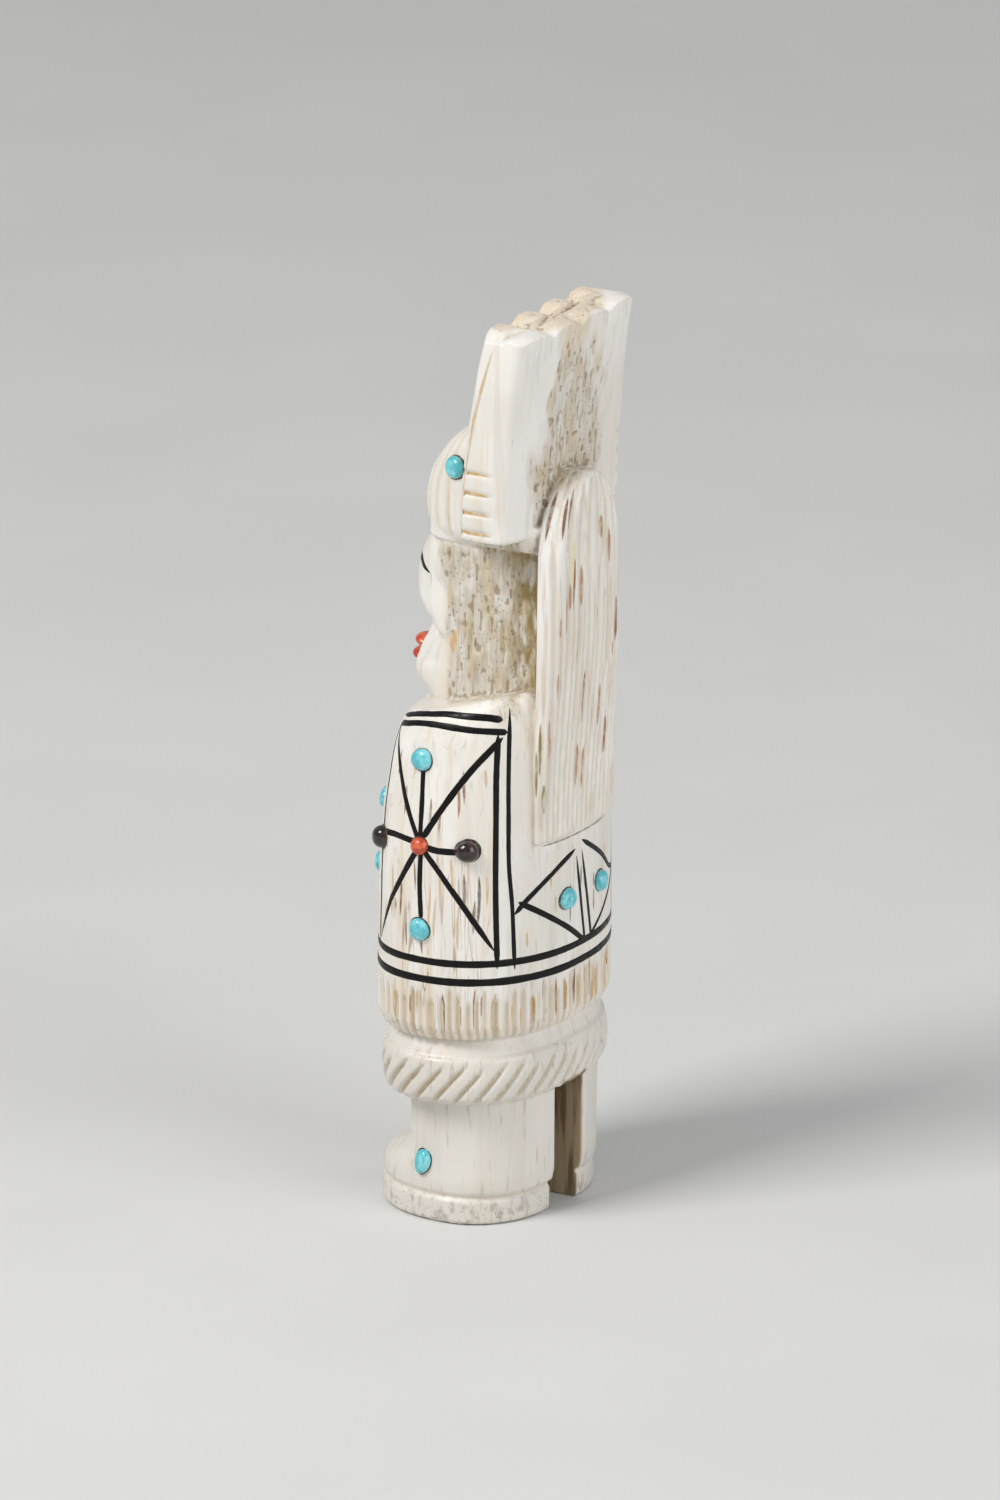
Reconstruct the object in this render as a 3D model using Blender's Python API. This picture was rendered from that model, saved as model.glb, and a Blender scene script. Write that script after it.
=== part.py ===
"""Standing maiden figurine carved from one piece of antler, with small domed stones let into it.

Sizes are in millimetres and are turned into metres when a mesh is made. +Z is up, the figure
faces -Y and its own left side is +X. The carving is a union of rounded forms stacked and set
into each other: two boots, the ruffle, the fringed manta, the head, the bangs, the hair down the
back and the feather headdress. The finished model stands with the middle of its footprint at
the origin.
"""

import math
from collections import namedtuple

import bmesh
import bpy
import numpy as np
from mathutils import Matrix, Vector

MM = 0.001

# Heights of the main divisions
TOTAL_HEIGHT = 115.2
SOLE_HEIGHT = 3.4
RUFFLE_BOTTOM = 16.3
FRINGE_BOTTOM = 24.9
FRINGE_HEIGHT = 7.0
SHOULDER_HEIGHT = 66.1
HAIR_BOTTOM = 49.8
HAIR_PEAK = 95.8
BANGS_BOTTOM = 85.9
BANGS_PEAK = 100.0
HEADDRESS_BOTTOM = 88.5
# How far a form reaches into the one above it
SET_IN = 1.2

# Boots
CLEFT_WIDTH = 5.2
BOOT_REACH = 14.0
TOE_Y = -13.0
HEEL_Y = 9.2
BOOT_MIDDLE_Y = -0.8
RIGHT_BOOT_SETBACK = 0.7
TOE_ROUNDING = 3.5

# Manta and ruffle
BODY_HALF_WIDTH = 17.5
BODY_FRONT_Y = -12.5
BODY_BACK_Y = 12.1
BODY_MIDDLE_Y = -1.5
SHOULDER_TILT = 0.26
RUFFLE_HALF_WIDTH = 17.1
RUFFLE_FRONT_Y = -12.0
RUFFLE_BACK_Y = 11.7
FLUTES = 70
FLUTE_DEPTH = 0.45
RUFFLE_GROOVES = 35
RUFFLE_GROOVE_DEPTH = 0.65
RUFFLE_LEAN = 0.8

# Head, bangs, hair and headdress
HEAD_HALF_WIDTH = 7.0
FACE_Y = -10.3
HEAD_MIDDLE_Y = -3.0
NAPE_Y = 12.5
NOSE_RISE = 1.7
BANGS_HALF_WIDTH = 8.5
BANGS_FRONT_Y = -8.4
HAIR_HALF_WIDTH = 8.6
HAIR_MIDDLE_X = 0.5
HAIR_ROOT_Y = 8.6
HAIR_EDGE_Y = 11.0
HAIR_BACK_Y = 14.2
HAIR_STRANDS = 9
STRAND_DEPTH = 0.5
HEADDRESS_HALF_WIDTH = 13.7
HEADDRESS_THICKNESS = 8.2
HEADDRESS_FRONT_Y = 1.7
HEADDRESS_LEAN = 3.6
FEATHERS = 4
FEATHER_SCALLOP = 1.2
FEATHER_GROOVE_DEPTH = 0.6
NOTCHES = 4
NOTCH_PITCH = 2.55
NOTCH_DEPTH = 0.45

# Stones
STONE_CLEARANCE = 0.3
STONE_SINK = 0.8
TURQUOISE_RADIUS = 1.38
JET_RADIUS = 1.45
CORAL_RADIUS = 1.15
LIP_HALF_WIDTH = 1.9
LIP_HALF_HEIGHT = 0.78
LIP_RISE = 1.5
LIP_GAP = 0.3
# Room past the corners of the lips in the pocket that holds both
LIP_CORNER_ROOM = 0.4

BOOT_POINTS = 24
BODY_POINTS = 44
HEAD_POINTS = 32
BANGS_RIBS = 12
FEATHER_POINTS = 6
STONE_SIDES = 12

# A level of a form: share of its height, then shares of its half width, front and back reach
Level = namedtuple("Level", "height width front back")

# The sole's levels are shares of its own height, the boot's of the height above it
SOLE_LEVELS = [
    Level(0.0, 0.97, 0.97, 0.97),
    Level(0.15, 1.0, 1.0, 0.99),
    Level(0.86, 1.0, 1.0, 0.99),
    Level(1.0, 0.95, 0.96, 0.95),
]

BOOT_LEVELS = [
    Level(0.05, 0.98, 0.99, 1.03),
    Level(0.13, 0.98, 0.98, 1.05),
    Level(0.21, 0.97, 0.92, 1.06),
    Level(0.28, 0.965, 0.8, 1.06),
    Level(0.33, 0.96, 0.67, 1.06),
    Level(0.42, 0.96, 0.61, 1.06),
    Level(1.0, 0.98, 0.6, 1.07),
]

RUFFLE_LEVELS = [
    Level(0.0, 0.93, 0.88, 0.92),
    Level(0.11, 0.99, 0.96, 0.98),
    Level(0.31, 1.0, 1.0, 1.0),
    Level(0.55, 0.99, 0.98, 0.98),
    Level(0.72, 0.95, 0.93, 0.95),
    Level(0.85, 0.91, 0.87, 0.9),
    Level(1.0, 0.89, 0.85, 0.88),
]

# The fringe's levels are shares of its own height, the cloth's of the height above it
FRINGE_LEVELS = [
    Level(0.0, 0.94, 0.91, 0.93),
    Level(0.1, 0.975, 0.96, 0.975),
    Level(0.3, 1.0, 1.0, 1.0),
    Level(1.0, 1.0, 1.0, 1.0),
]

CLOTH_LEVELS = [
    Level(0.08, 0.995, 0.99, 1.0),
    Level(0.37, 0.99, 0.97, 1.0),
    Level(0.6, 0.97, 0.93, 0.99),
    Level(0.75, 0.93, 0.865, 0.985),
    Level(0.87, 0.88, 0.8, 0.98),
    Level(0.94, 0.83, 0.745, 0.975),
    Level(0.98, 0.785, 0.68, 0.955),
    Level(1.0, 0.73, 0.6, 0.91),
]

HEAD_LEVELS = [
    Level(0.0, 0.95, 0.56, 1.0),
    Level(0.08, 0.97, 0.63, 1.0),
    Level(0.13, 1.0, 0.76, 1.0),
    Level(0.165, 1.0, 0.93, 1.0),
    Level(0.205, 1.0, 1.0, 1.0),
    Level(0.255, 1.0, 0.98, 1.0),
    Level(0.31, 1.0, 0.9, 1.0),
    Level(0.36, 1.0, 0.73, 1.0),
    Level(0.405, 1.0, 0.58, 1.0),
    Level(0.45, 1.0, 0.6, 1.0),
    Level(0.5, 1.0, 0.79, 1.0),
    Level(0.56, 1.0, 0.93, 1.0),
    Level(0.62, 1.0, 0.945, 1.0),
    Level(0.7, 1.0, 0.91, 1.0),
    Level(0.79, 1.0, 0.79, 1.0),
    Level(0.86, 1.0, 0.6, 1.0),
    Level(0.89, 1.24, 0.5, 0.89),
    Level(1.0, 1.3, 0.45, 0.89),
]

BANGS_LEVELS = [
    Level(0.0, 0.8, 0.6, 1.0),
    Level(0.05, 0.91, 0.8, 1.0),
    Level(0.16, 0.98, 0.97, 1.0),
    Level(0.33, 1.0, 1.0, 1.0),
    Level(0.55, 0.99, 0.91, 1.0),
    Level(0.75, 0.93, 0.71, 1.0),
    Level(0.91, 0.82, 0.46, 1.0),
    Level(1.0, 0.66, 0.22, 1.0),
]

HAIR_LEVELS = [
    Level(0.0, 1.06, 1.0, 0.44),
    Level(0.1, 1.06, 1.0, 0.52),
    Level(0.35, 1.04, 1.0, 0.77),
    Level(0.62, 1.0, 1.0, 1.0),
    Level(0.78, 0.98, 1.0, 1.0),
    Level(0.87, 0.85, 1.0, 1.0),
    Level(0.94, 0.62, 1.0, 1.0),
    Level(0.98, 0.36, 1.0, 0.97),
    Level(1.0, 0.12, 1.0, 0.95),
]


class Form:
    """A rounded form: sections stacked between two heights, each wider or deeper by its level."""

    def __init__(self, levels, bottom, top, half_width, front, back, middle, powers, tilt=0.0):
        self.levels = levels
        self.bottom, self.top = bottom, top
        self.half_width = half_width
        self.middle_x, self.middle_y = middle
        self.front_reach = middle[1] - front
        self.back_reach = back - middle[1]
        self.front_power, self.back_power = powers
        self.tilt = tilt

    def sizes(self, share):
        """Half width, front reach and back reach at a share of the height."""
        heights = [level.height for level in self.levels]
        width = np.interp(share, heights, [level.width for level in self.levels])
        front = np.interp(share, heights, [level.front for level in self.levels])
        back = np.interp(share, heights, [level.back for level in self.levels])
        return width * self.half_width, front * self.front_reach, back * self.back_reach

    def point(self, share, angle):
        """The point of the surface in this direction, with 0 at +X and a quarter turn at +Y."""
        width, front, back = self.sizes(share)
        cosine, sine = math.cos(angle), math.sin(angle)
        depth, power = (front, self.front_power) if sine < 0 else (back, self.back_power)
        reach = ((abs(cosine) / width) ** power + (abs(sine) / depth) ** power) ** (-1 / power)
        y = self.middle_y + reach * sine
        height = self.bottom + share * (self.top - self.bottom)
        height += self.tilt * share ** 3 * (y - self.middle_y)
        return Vector((self.middle_x + reach * cosine, y, height))

    def arc(self, share, count, start=-90.0, end=270.0, turn=0.0):
        """Points at equal steps along the section between two angles, both ends included."""
        angles = np.radians(np.linspace(start, end, 241))
        points = np.array([self.point(share, angle) for angle in angles])
        steps = np.linalg.norm(np.diff(points, axis=0), axis=1)
        along = np.concatenate([[0.0], np.cumsum(steps)])
        wanted = np.linspace(0.0, along[-1], count)
        if turn:
            wanted = (wanted + turn) % along[-1]
        return [Vector(np.interp(spot, along, points[:, axis]) for axis in range(3))
                for spot in wanted]

    def ring(self, share, count, turn=0.0):
        """A closed ring of points at equal steps, from the front round by the left side."""
        return self.arc(share, count + 1, turn=turn)[:-1]

    def seat(self, share, angle):
        """A place on the surface whose +Z points outwards and whose +Y points up the form."""
        here = self.point(share, angle)
        across = self.point(share, angle + 0.02) - self.point(share, angle - 0.02)
        along = self.point(share + 0.01, angle) - self.point(share - 0.01, angle)
        outward = across.cross(along).normalized()
        side = along.cross(outward).normalized()
        place = Matrix((side, outward.cross(side), outward)).transposed().to_4x4()
        place.translation = here
        return place


def pushed_in(ring, depths):
    """The ring with each point moved towards the inside by its depth, square to the outline."""
    moved = []
    count = len(ring)
    for index, point in enumerate(ring):
        along = ring[(index + 1) % count] - ring[index - 1]
        inward = Vector((-along.y, along.x, 0.0)).normalized()
        moved.append(point + inward * depths[index % len(depths)])
    return moved


def bridge(mesh, lower, upper):
    """Joins two rings, which may have different numbers of points, with a band of triangles."""
    low = high = 0
    while low < len(lower) or high < len(upper):
        a = lower[low % len(lower)]
        b = upper[high % len(upper)]
        if high == len(upper) or (low < len(lower)
                                  and (low + 1) * len(upper) <= (high + 1) * len(lower)):
            low += 1
            mesh.faces.new((a, lower[low % len(lower)], b))
        else:
            high += 1
            mesh.faces.new((a, upper[high % len(upper)], b))


def finished_object(name, mesh):
    """Turns a bmesh in millimetres into an object in metres, with its faces outwards."""
    bmesh.ops.recalc_face_normals(mesh, faces=mesh.faces)
    bmesh.ops.scale(mesh, vec=(MM, MM, MM), verts=mesh.verts)
    data = bpy.data.meshes.new(name)
    mesh.to_mesh(data)
    mesh.free()
    data.shade_smooth()
    data.set_sharp_from_angle(angle=math.radians(35))
    piece = bpy.data.objects.new(name, data)
    bpy.context.scene.collection.objects.link(piece)
    return piece


def loft(name, rings):
    """A closed skin through a stack of rings, closed flat at the bottom and the top."""
    mesh = bmesh.new()
    rows = [[mesh.verts.new(point) for point in ring] for ring in rings]
    for lower, upper in zip(rows, rows[1:]):
        bridge(mesh, lower, upper)
    mesh.faces.new(reversed(rows[0]))
    mesh.faces.new(rows[-1])
    return finished_object(name, mesh)


def shares_of(levels):
    return [level.height for level in levels]


def stacked(lower, upper, split):
    """Two lists of levels as one, the lower one up to the split share and the other above it."""
    levels = [level._replace(height=level.height * split) for level in lower]
    levels += [level._replace(height=split + level.height * (1.0 - split)) for level in upper]
    return levels


def boot_form():
    top = RUFFLE_BOTTOM + SET_IN
    levels = stacked(SOLE_LEVELS, BOOT_LEVELS, SOLE_HEIGHT / top)
    return Form(levels, 0.0, top, BOOT_REACH - CLEFT_WIDTH / 2, TOE_Y, HEEL_Y,
                (CLEFT_WIDTH / 2, BOOT_MIDDLE_Y), (2.2, 2.2))


def make_boot(name, form, side, setback):
    """One boot with its leg: an outer half section closed by the flat wall of the cleft."""
    rings = []
    for share in shares_of(form.levels):
        ring = form.arc(share, BOOT_POINTS, -90.0, 90.0)
        for point in ring:
            from_wall = (point.x - form.middle_x) / TOE_ROUNDING
            if point.y < form.middle_y and from_wall < 1.0:
                point.y += 0.35 * TOE_ROUNDING * (1.0 - from_wall) ** 2
            point.x *= side
            point.y += setback
        rings.append(ring if side > 0 else list(reversed(ring)))
    return loft(name, rings)


def ruffle_form():
    return Form(RUFFLE_LEVELS, RUFFLE_BOTTOM, FRINGE_BOTTOM + SET_IN, RUFFLE_HALF_WIDTH,
                RUFFLE_FRONT_Y, RUFFLE_BACK_Y, (0.0, BODY_MIDDLE_Y), (2.25, 2.25))


def make_ruffle(form):
    """The ruffle under the fringe, cut by slanted grooves that fade towards its top."""
    rings = []
    fade = [0.35, 0.9, 1.0, 0.8, 0.2, 0.0, 0.0]
    for share, strength in zip(shares_of(form.levels), fade):
        turn = RUFFLE_LEAN * share * (form.top - form.bottom)
        ring = form.ring(share, 3 * RUFFLE_GROOVES, turn)
        rings.append(pushed_in(ring, [RUFFLE_GROOVE_DEPTH * strength, 0.0, 0.0]))
    return loft("ruffle", rings)


def body_form():
    fringe_share = FRINGE_HEIGHT / (SHOULDER_HEIGHT - FRINGE_BOTTOM)
    levels = stacked(FRINGE_LEVELS, CLOTH_LEVELS, fringe_share)
    return Form(levels, FRINGE_BOTTOM, SHOULDER_HEIGHT, BODY_HALF_WIDTH, BODY_FRONT_Y,
                BODY_BACK_Y, (0.0, BODY_MIDDLE_Y), (2.25, 2.25), SHOULDER_TILT)


def make_body(form):
    """The manta: upright flutes make its fringe, and the cloth above is plain."""
    shares = shares_of(form.levels)
    fringe_top = len(FRINGE_LEVELS) - 1
    rings = []
    for share in shares[:fringe_top + 1]:
        depth = FLUTE_DEPTH if share < shares[fringe_top] else 0.0
        rings.append(pushed_in(form.ring(share, 2 * FLUTES), [depth, 0.0]))
    rings += [form.ring(share, BODY_POINTS) for share in shares[fringe_top + 1:]]
    return loft("manta", rings)


def head_form():
    return Form(HEAD_LEVELS, SHOULDER_HEIGHT - 3 * SET_IN, HEADDRESS_BOTTOM + SET_IN,
                HEAD_HALF_WIDTH, FACE_Y, NAPE_Y, (0.0, HEAD_MIDDLE_Y), (2.3, 9.0))


def make_head(form):
    """The head: a rounded face with a low nose, and flat sides that run back into the hair."""
    rings = []
    for share in shares_of(form.levels):
        ring = form.ring(share, HEAD_POINTS)
        along_nose = max(0.0, 1.0 - abs(share - 0.42) / 0.13)
        for point in ring:
            if point.y < form.middle_y:
                across = max(0.0, 1.0 - (point.x / 2.2) ** 2)
                point.y -= NOSE_RISE * along_nose * across
        rings.append(ring)
    return loft("head", rings)


def bangs_form():
    return Form(BANGS_LEVELS, BANGS_BOTTOM, BANGS_PEAK, BANGS_HALF_WIDTH, BANGS_FRONT_Y,
                HEADDRESS_FRONT_Y + 4.0, (0.0, 0.0), (2.3, 6.0))


def make_bangs(form):
    """The hair over the forehead, ribbed from top to bottom."""
    rings = []
    for share in shares_of(form.levels):
        ring = form.arc(share, 2 * BANGS_RIBS + 1, -180.0, 0.0)
        depths = [0.0 if index % 2 else 0.35 for index in range(len(ring))]
        depths[0] = depths[-1] = 0.0
        rings.append(pushed_in(ring, depths) + form.arc(share, 4, 40.0, 140.0))
    return loft("bangs", rings)


def hair_form():
    return Form(HAIR_LEVELS, HAIR_BOTTOM, HAIR_PEAK, HAIR_HALF_WIDTH, HAIR_ROOT_Y, HAIR_BACK_Y,
                (HAIR_MIDDLE_X, HAIR_EDGE_Y), (2.0, 2.8))


def make_hair(form):
    """The hair down the back: strands that spread from the peak and hang to a straight edge."""
    rings = []
    for share in shares_of(form.levels):
        ring = form.arc(share, 3 * HAIR_STRANDS + 1, 0.0, 180.0)
        depths = [0.0 if index % 3 else STRAND_DEPTH for index in range(len(ring))]
        depths[0] = depths[-1] = 0.0
        rings.append(pushed_in(ring, depths) + form.arc(share, 4, 205.0, 335.0))
    return loft("hair", rings)


def feather_cross_places():
    """Places across the headdress from -1 to 1, closer together at each groove and end."""
    places = set()
    for feather in range(FEATHERS):
        start = -1.0 + 2.0 * feather / FEATHERS
        for step in range(FEATHER_POINTS):
            eased = 0.5 - 0.5 * math.cos(math.pi * step / FEATHER_POINTS)
            places.add(round(start + eased * 2.0 / FEATHERS, 6))
    places.add(1.0)
    return sorted(places)


def headdress_ring(height, places, top=False):
    """One section of the headdress, front edge first and then the back edge."""
    share = (height - HEADDRESS_BOTTOM) / (TOTAL_HEIGHT - HEADDRESS_BOTTOM)
    half_width = HEADDRESS_HALF_WIDTH * (1.0 - 0.05 * share)
    corner = min(1.0, 0.25 + 4.0 * share) ** 0.5
    half_width *= 0.93 + 0.07 * corner
    front = HEADDRESS_FRONT_Y + HEADDRESS_LEAN * share ** 1.5
    back = front + HEADDRESS_THICKNESS * (1.0 - 0.18 * share)
    middle = (front + back) / 2
    reach = (back - front) / 2
    front_row, back_row = [], []
    for place in places:
        edge = max(0.0, 1.0 - abs(place) ** 9) ** (1 / 9)
        phase = (place + 1.0) * FEATHERS / 2
        to_groove = abs(phase - round(phase))
        inner = 0.0 < round(phase) < FEATHERS
        groove = max(0.0, 1.0 - to_groove / 0.12) if inner else 0.0
        drop = FEATHER_SCALLOP * abs(math.cos(math.pi * phase)) ** 4 if top else 0.0
        x = half_width * place
        front_y = middle - reach * edge + FEATHER_GROOVE_DEPTH * groove
        back_y = middle + reach * edge - FEATHER_GROOVE_DEPTH * groove * max(0.0, share * 3 - 2)
        slope = 0.1 * reach * edge if top else 0.0
        front_row.append(Vector((x, front_y, height - drop)))
        back_row.append(Vector((x, back_y, height - drop - slope)))
    return front_row, back_row


def make_headdress():
    """Four feathers side by side as one slab, with rounded tips and grooves between them."""
    places = feather_cross_places()
    span = TOTAL_HEIGHT - HEADDRESS_BOTTOM
    shares = [0.0, 0.035, 0.12, 0.35, 0.6, 0.78, 0.9]
    heights = [HEADDRESS_BOTTOM + span * share for share in shares]
    sections = [headdress_ring(height, places) for height in heights]
    sections.append(headdress_ring(TOTAL_HEIGHT, places, top=True))
    mesh = bmesh.new()
    rows = []
    for front_row, back_row in sections:
        ring = front_row + list(reversed(back_row[1:-1]))
        rows.append([mesh.verts.new(point) for point in ring])
    for lower, upper in zip(rows, rows[1:]):
        bridge(mesh, lower, upper)
    count = len(places)
    for ring in (rows[0], rows[-1]):
        back = [ring[0]] + list(reversed(ring[count:])) + [ring[count - 1]]
        for index in range(count - 1):
            corners = [ring[index], ring[index + 1], back[index + 1], back[index]]
            mesh.faces.new(list(dict.fromkeys(corners)))
    return finished_object("headdress", mesh)


def make_notches():
    """Wedges that cut the four short grooves at the foot of the headdress on each side."""
    mesh = bmesh.new()
    half = 0.4
    for side in (-1, 1):
        for index in range(NOTCHES):
            height = HEADDRESS_BOTTOM + 1.1 + index * NOTCH_PITCH
            outer = side * (HEADDRESS_HALF_WIDTH + 1.0)
            inner = side * (HEADDRESS_HALF_WIDTH * 0.99 - NOTCH_DEPTH)
            ends = []
            for y in (HEADDRESS_FRONT_Y + 1.6, HEADDRESS_FRONT_Y + HEADDRESS_THICKNESS * 0.88):
                ends.append([mesh.verts.new((inner, y, height)),
                             mesh.verts.new((outer, y, height - 3 * half)),
                             mesh.verts.new((outer, y, height + 3 * half))])
            mesh.faces.new(ends[0])
            mesh.faces.new(reversed(ends[1]))
            for corner in range(3):
                after = (corner + 1) % 3
                mesh.faces.new((ends[0][corner], ends[1][corner],
                                ends[1][after], ends[0][after]))
    return finished_object("notch_cutter", mesh)


def oval(half_width, half_height, height, sides=STONE_SIDES):
    """A ring of points on an oval at a height above the seat."""
    turns = [2 * math.pi * step / sides for step in range(sides)]
    return [Vector((half_width * math.cos(turn), half_height * math.sin(turn), height))
            for turn in turns]


def make_stone(name, place, half_width, half_height, rise):
    """A domed stone: a short stem in its pocket and a rounded top that stands proud."""
    mesh = bmesh.new()
    rings = [oval(half_width, half_height, -STONE_SINK)]
    for lift in (0.0, 48.0):
        spread = math.cos(math.radians(lift))
        rings.append(oval(half_width * spread, half_height * spread,
                          0.1 * rise + rise * 0.9 * math.sin(math.radians(lift))))
    rows = [[mesh.verts.new(place @ point) for point in ring] for ring in rings]
    for lower, upper in zip(rows, rows[1:]):
        bridge(mesh, lower, upper)
    mesh.faces.new(reversed(rows[0]))
    peak = mesh.verts.new(place @ Vector((0.0, 0.0, rise)))
    for index in range(STONE_SIDES):
        mesh.faces.new((rows[-1][index], rows[-1][(index + 1) % STONE_SIDES], peak))
    return finished_object(name, mesh)


def make_pockets(name, seats):
    """A cutter for pockets that stay apart: each is an oval a clearance larger than its stone."""
    mesh = bmesh.new()
    for place, half_width, half_height in seats:
        wide = half_width + STONE_CLEARANCE
        tall = half_height + STONE_CLEARANCE
        floor = [mesh.verts.new(place @ point)
                 for point in oval(wide, tall, -STONE_SINK - STONE_CLEARANCE)]
        mouth = [mesh.verts.new(place @ point) for point in oval(wide, tall, 1.5)]
        bridge(mesh, floor, mouth)
        mesh.faces.new(reversed(floor))
        mesh.faces.new(mouth)
    return finished_object(name, mesh)


def material(name, colour, roughness):
    """A plain surface of one colour."""
    surface = bpy.data.materials.new(name)
    surface.use_nodes = True
    shader = surface.node_tree.nodes["Principled BSDF"]
    shader.inputs["Base Color"].default_value = (*colour, 1.0)
    shader.inputs["Roughness"].default_value = roughness
    shader.inputs["Metallic"].default_value = 0.0
    surface.diffuse_color = (*colour, 1.0)
    return surface


def both_sides(name, angle):
    """The stone on the figure's left and its twin mirrored to the right."""
    return [(name + "_left", math.radians(angle)), (name + "_right", math.radians(180 - angle))]


def mouth_seat(head):
    """The place on the front of the face where the two lips meet."""
    return head.seat(0.252, math.radians(-90))


def stone_list(body, boot, bangs, head):
    """Every stone: its name, place, half width, half height, rise and kind."""
    stones = []

    def add(name, place, radius, rise, kind, tall=1.0):
        stones.append((name, place, radius, radius * tall, rise, kind))

    star_middle, star_reach = 0.606, 0.258
    for name, share, angle, radius, rise, kind in (
            ("star_center", star_middle, 2.0, CORAL_RADIUS, 1.0, "coral"),
            ("star_top", star_middle + star_reach, 0.5, TURQUOISE_RADIUS, 1.0, "turquoise"),
            ("star_bottom", star_middle - star_reach, 2.5, TURQUOISE_RADIUS, 1.0, "turquoise"),
            ("star_front", star_middle - 0.005, -22.0, JET_RADIUS, 1.5, "jet"),
            ("star_back", star_middle - 0.01, 22.6, JET_RADIUS, 1.5, "jet"),
            ("front_dot_upper", 0.678, -47.0, TURQUOISE_RADIUS, 1.0, "turquoise"),
            ("front_dot_lower", 0.468, -46.0, TURQUOISE_RADIUS, 1.0, "turquoise")):
        for full_name, turn in both_sides(name, angle):
            add(full_name, body.seat(share, turn), radius, rise, kind)
    for name, angle, share in (("back_dot_left", 75.5, 0.395), ("back_dot_right", 109.0, 0.395)):
        add(name, body.seat(share, math.radians(angle)), TURQUOISE_RADIUS, 1.0, "turquoise")
    for full_name, turn in both_sides("hair_stone", -9.0):
        add(full_name, bangs.seat(0.7, turn), TURQUOISE_RADIUS, 0.9, "turquoise")
    left = boot.seat(0.43, math.radians(-9.5))
    mirror = Matrix.Diagonal((-1.0, 1.0, 1.0, 1.0))
    shift = Matrix.Translation((0.0, RIGHT_BOOT_SETBACK, 0.0))
    right = shift @ mirror @ left @ mirror
    add("foot_stone_left", left, TURQUOISE_RADIUS * 0.87, 0.9, "turquoise", 1.2)
    add("foot_stone_right", right, TURQUOISE_RADIUS * 0.87, 0.9, "turquoise", 1.2)
    mouth = mouth_seat(head)
    for name, upward in (("lip_upper", 1), ("lip_lower", -1)):
        shift = Matrix.Translation((0.0, upward * (LIP_HALF_HEIGHT + LIP_GAP / 2), 0.0))
        add(name, mouth @ shift, LIP_HALF_WIDTH, LIP_RISE, "coral",
            LIP_HALF_HEIGHT / LIP_HALF_WIDTH)
    return stones


def combine(piece, other, operation):
    """Adds a Boolean to the piece and sets the other object aside as its tool."""
    change = piece.modifiers.new(other.name, "BOOLEAN")
    change.object = other
    change.operation = operation
    change.solver = "EXACT"
    other.hide_render = True
    other.display_type = "WIRE"


def stand_on_origin(pieces):
    """Moves everything so that the middle of the footprint lies at the origin."""
    bpy.context.view_layer.update()
    graph = bpy.context.evaluated_depsgraph_get()
    corners = [piece.matrix_world @ Vector(corner) for piece in pieces
               for corner in piece.evaluated_get(graph).bound_box]
    low = Vector(min(corner[axis] for corner in corners) for axis in range(3))
    high = Vector(max(corner[axis] for corner in corners) for axis in range(3))
    shift = Vector((-(low.x + high.x) / 2, -(low.y + high.y) / 2, -low.z))
    for piece in bpy.data.objects:
        piece.location += shift


def main():
    for old in list(bpy.data.objects):
        bpy.data.objects.remove(old)
    finishes = {
        "antler": material("antler", (0.83, 0.79, 0.73), 0.45),
        "turquoise": material("turquoise", (0.13, 0.52, 0.58), 0.3),
        "jet": material("jet", (0.02, 0.008, 0.008), 0.12),
        "coral": material("coral", (0.55, 0.07, 0.03), 0.25),
    }
    body, boot, bangs, head = body_form(), boot_form(), bangs_form(), head_form()
    carving = make_body(body)
    carving.name = carving.data.name = "antler_carving"
    forms = [
        make_ruffle(ruffle_form()),
        make_boot("left_boot", boot, 1, 0.0),
        make_boot("right_boot", boot, -1, RIGHT_BOOT_SETBACK),
        make_head(head),
        make_bangs(bangs),
        make_hair(hair_form()),
        make_headdress(),
    ]
    for form in forms:
        combine(carving, form, "UNION")
    combine(carving, make_notches(), "DIFFERENCE")
    stones = stone_list(body, boot, bangs, head)
    seats = [stone[1:4] for stone in stones if not stone[0].startswith("lip")]
    seats.append((mouth_seat(head), LIP_HALF_WIDTH + LIP_CORNER_ROOM,
                  2 * LIP_HALF_HEIGHT + LIP_GAP / 2))
    combine(carving, make_pockets("pocket_cutter", seats), "DIFFERENCE")
    carving.data.materials.append(finishes["antler"])
    pieces = [carving]
    for name, place, half_width, half_height, rise, kind in stones:
        stone = make_stone(name, place, half_width, half_height, rise)
        stone.data.materials.append(finishes[kind])
        pieces.append(stone)
    stand_on_origin(pieces)


main()
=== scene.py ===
"""Looks of the carved antler maiden: the fine skin of the carving, its inked lines and its stones.

Sizes are in millimetres in the figure's own frame: +Z is up, the figure faces -Y and its left side
is +X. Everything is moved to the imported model's frame and turned into metres when a mesh is made.
"""

import math
from collections import namedtuple
from itertools import product

import bpy
import numpy as np
from mathutils import Matrix, Vector
from mathutils.bvhtree import BVHTree
from mathutils.kdtree import KDTree


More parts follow.
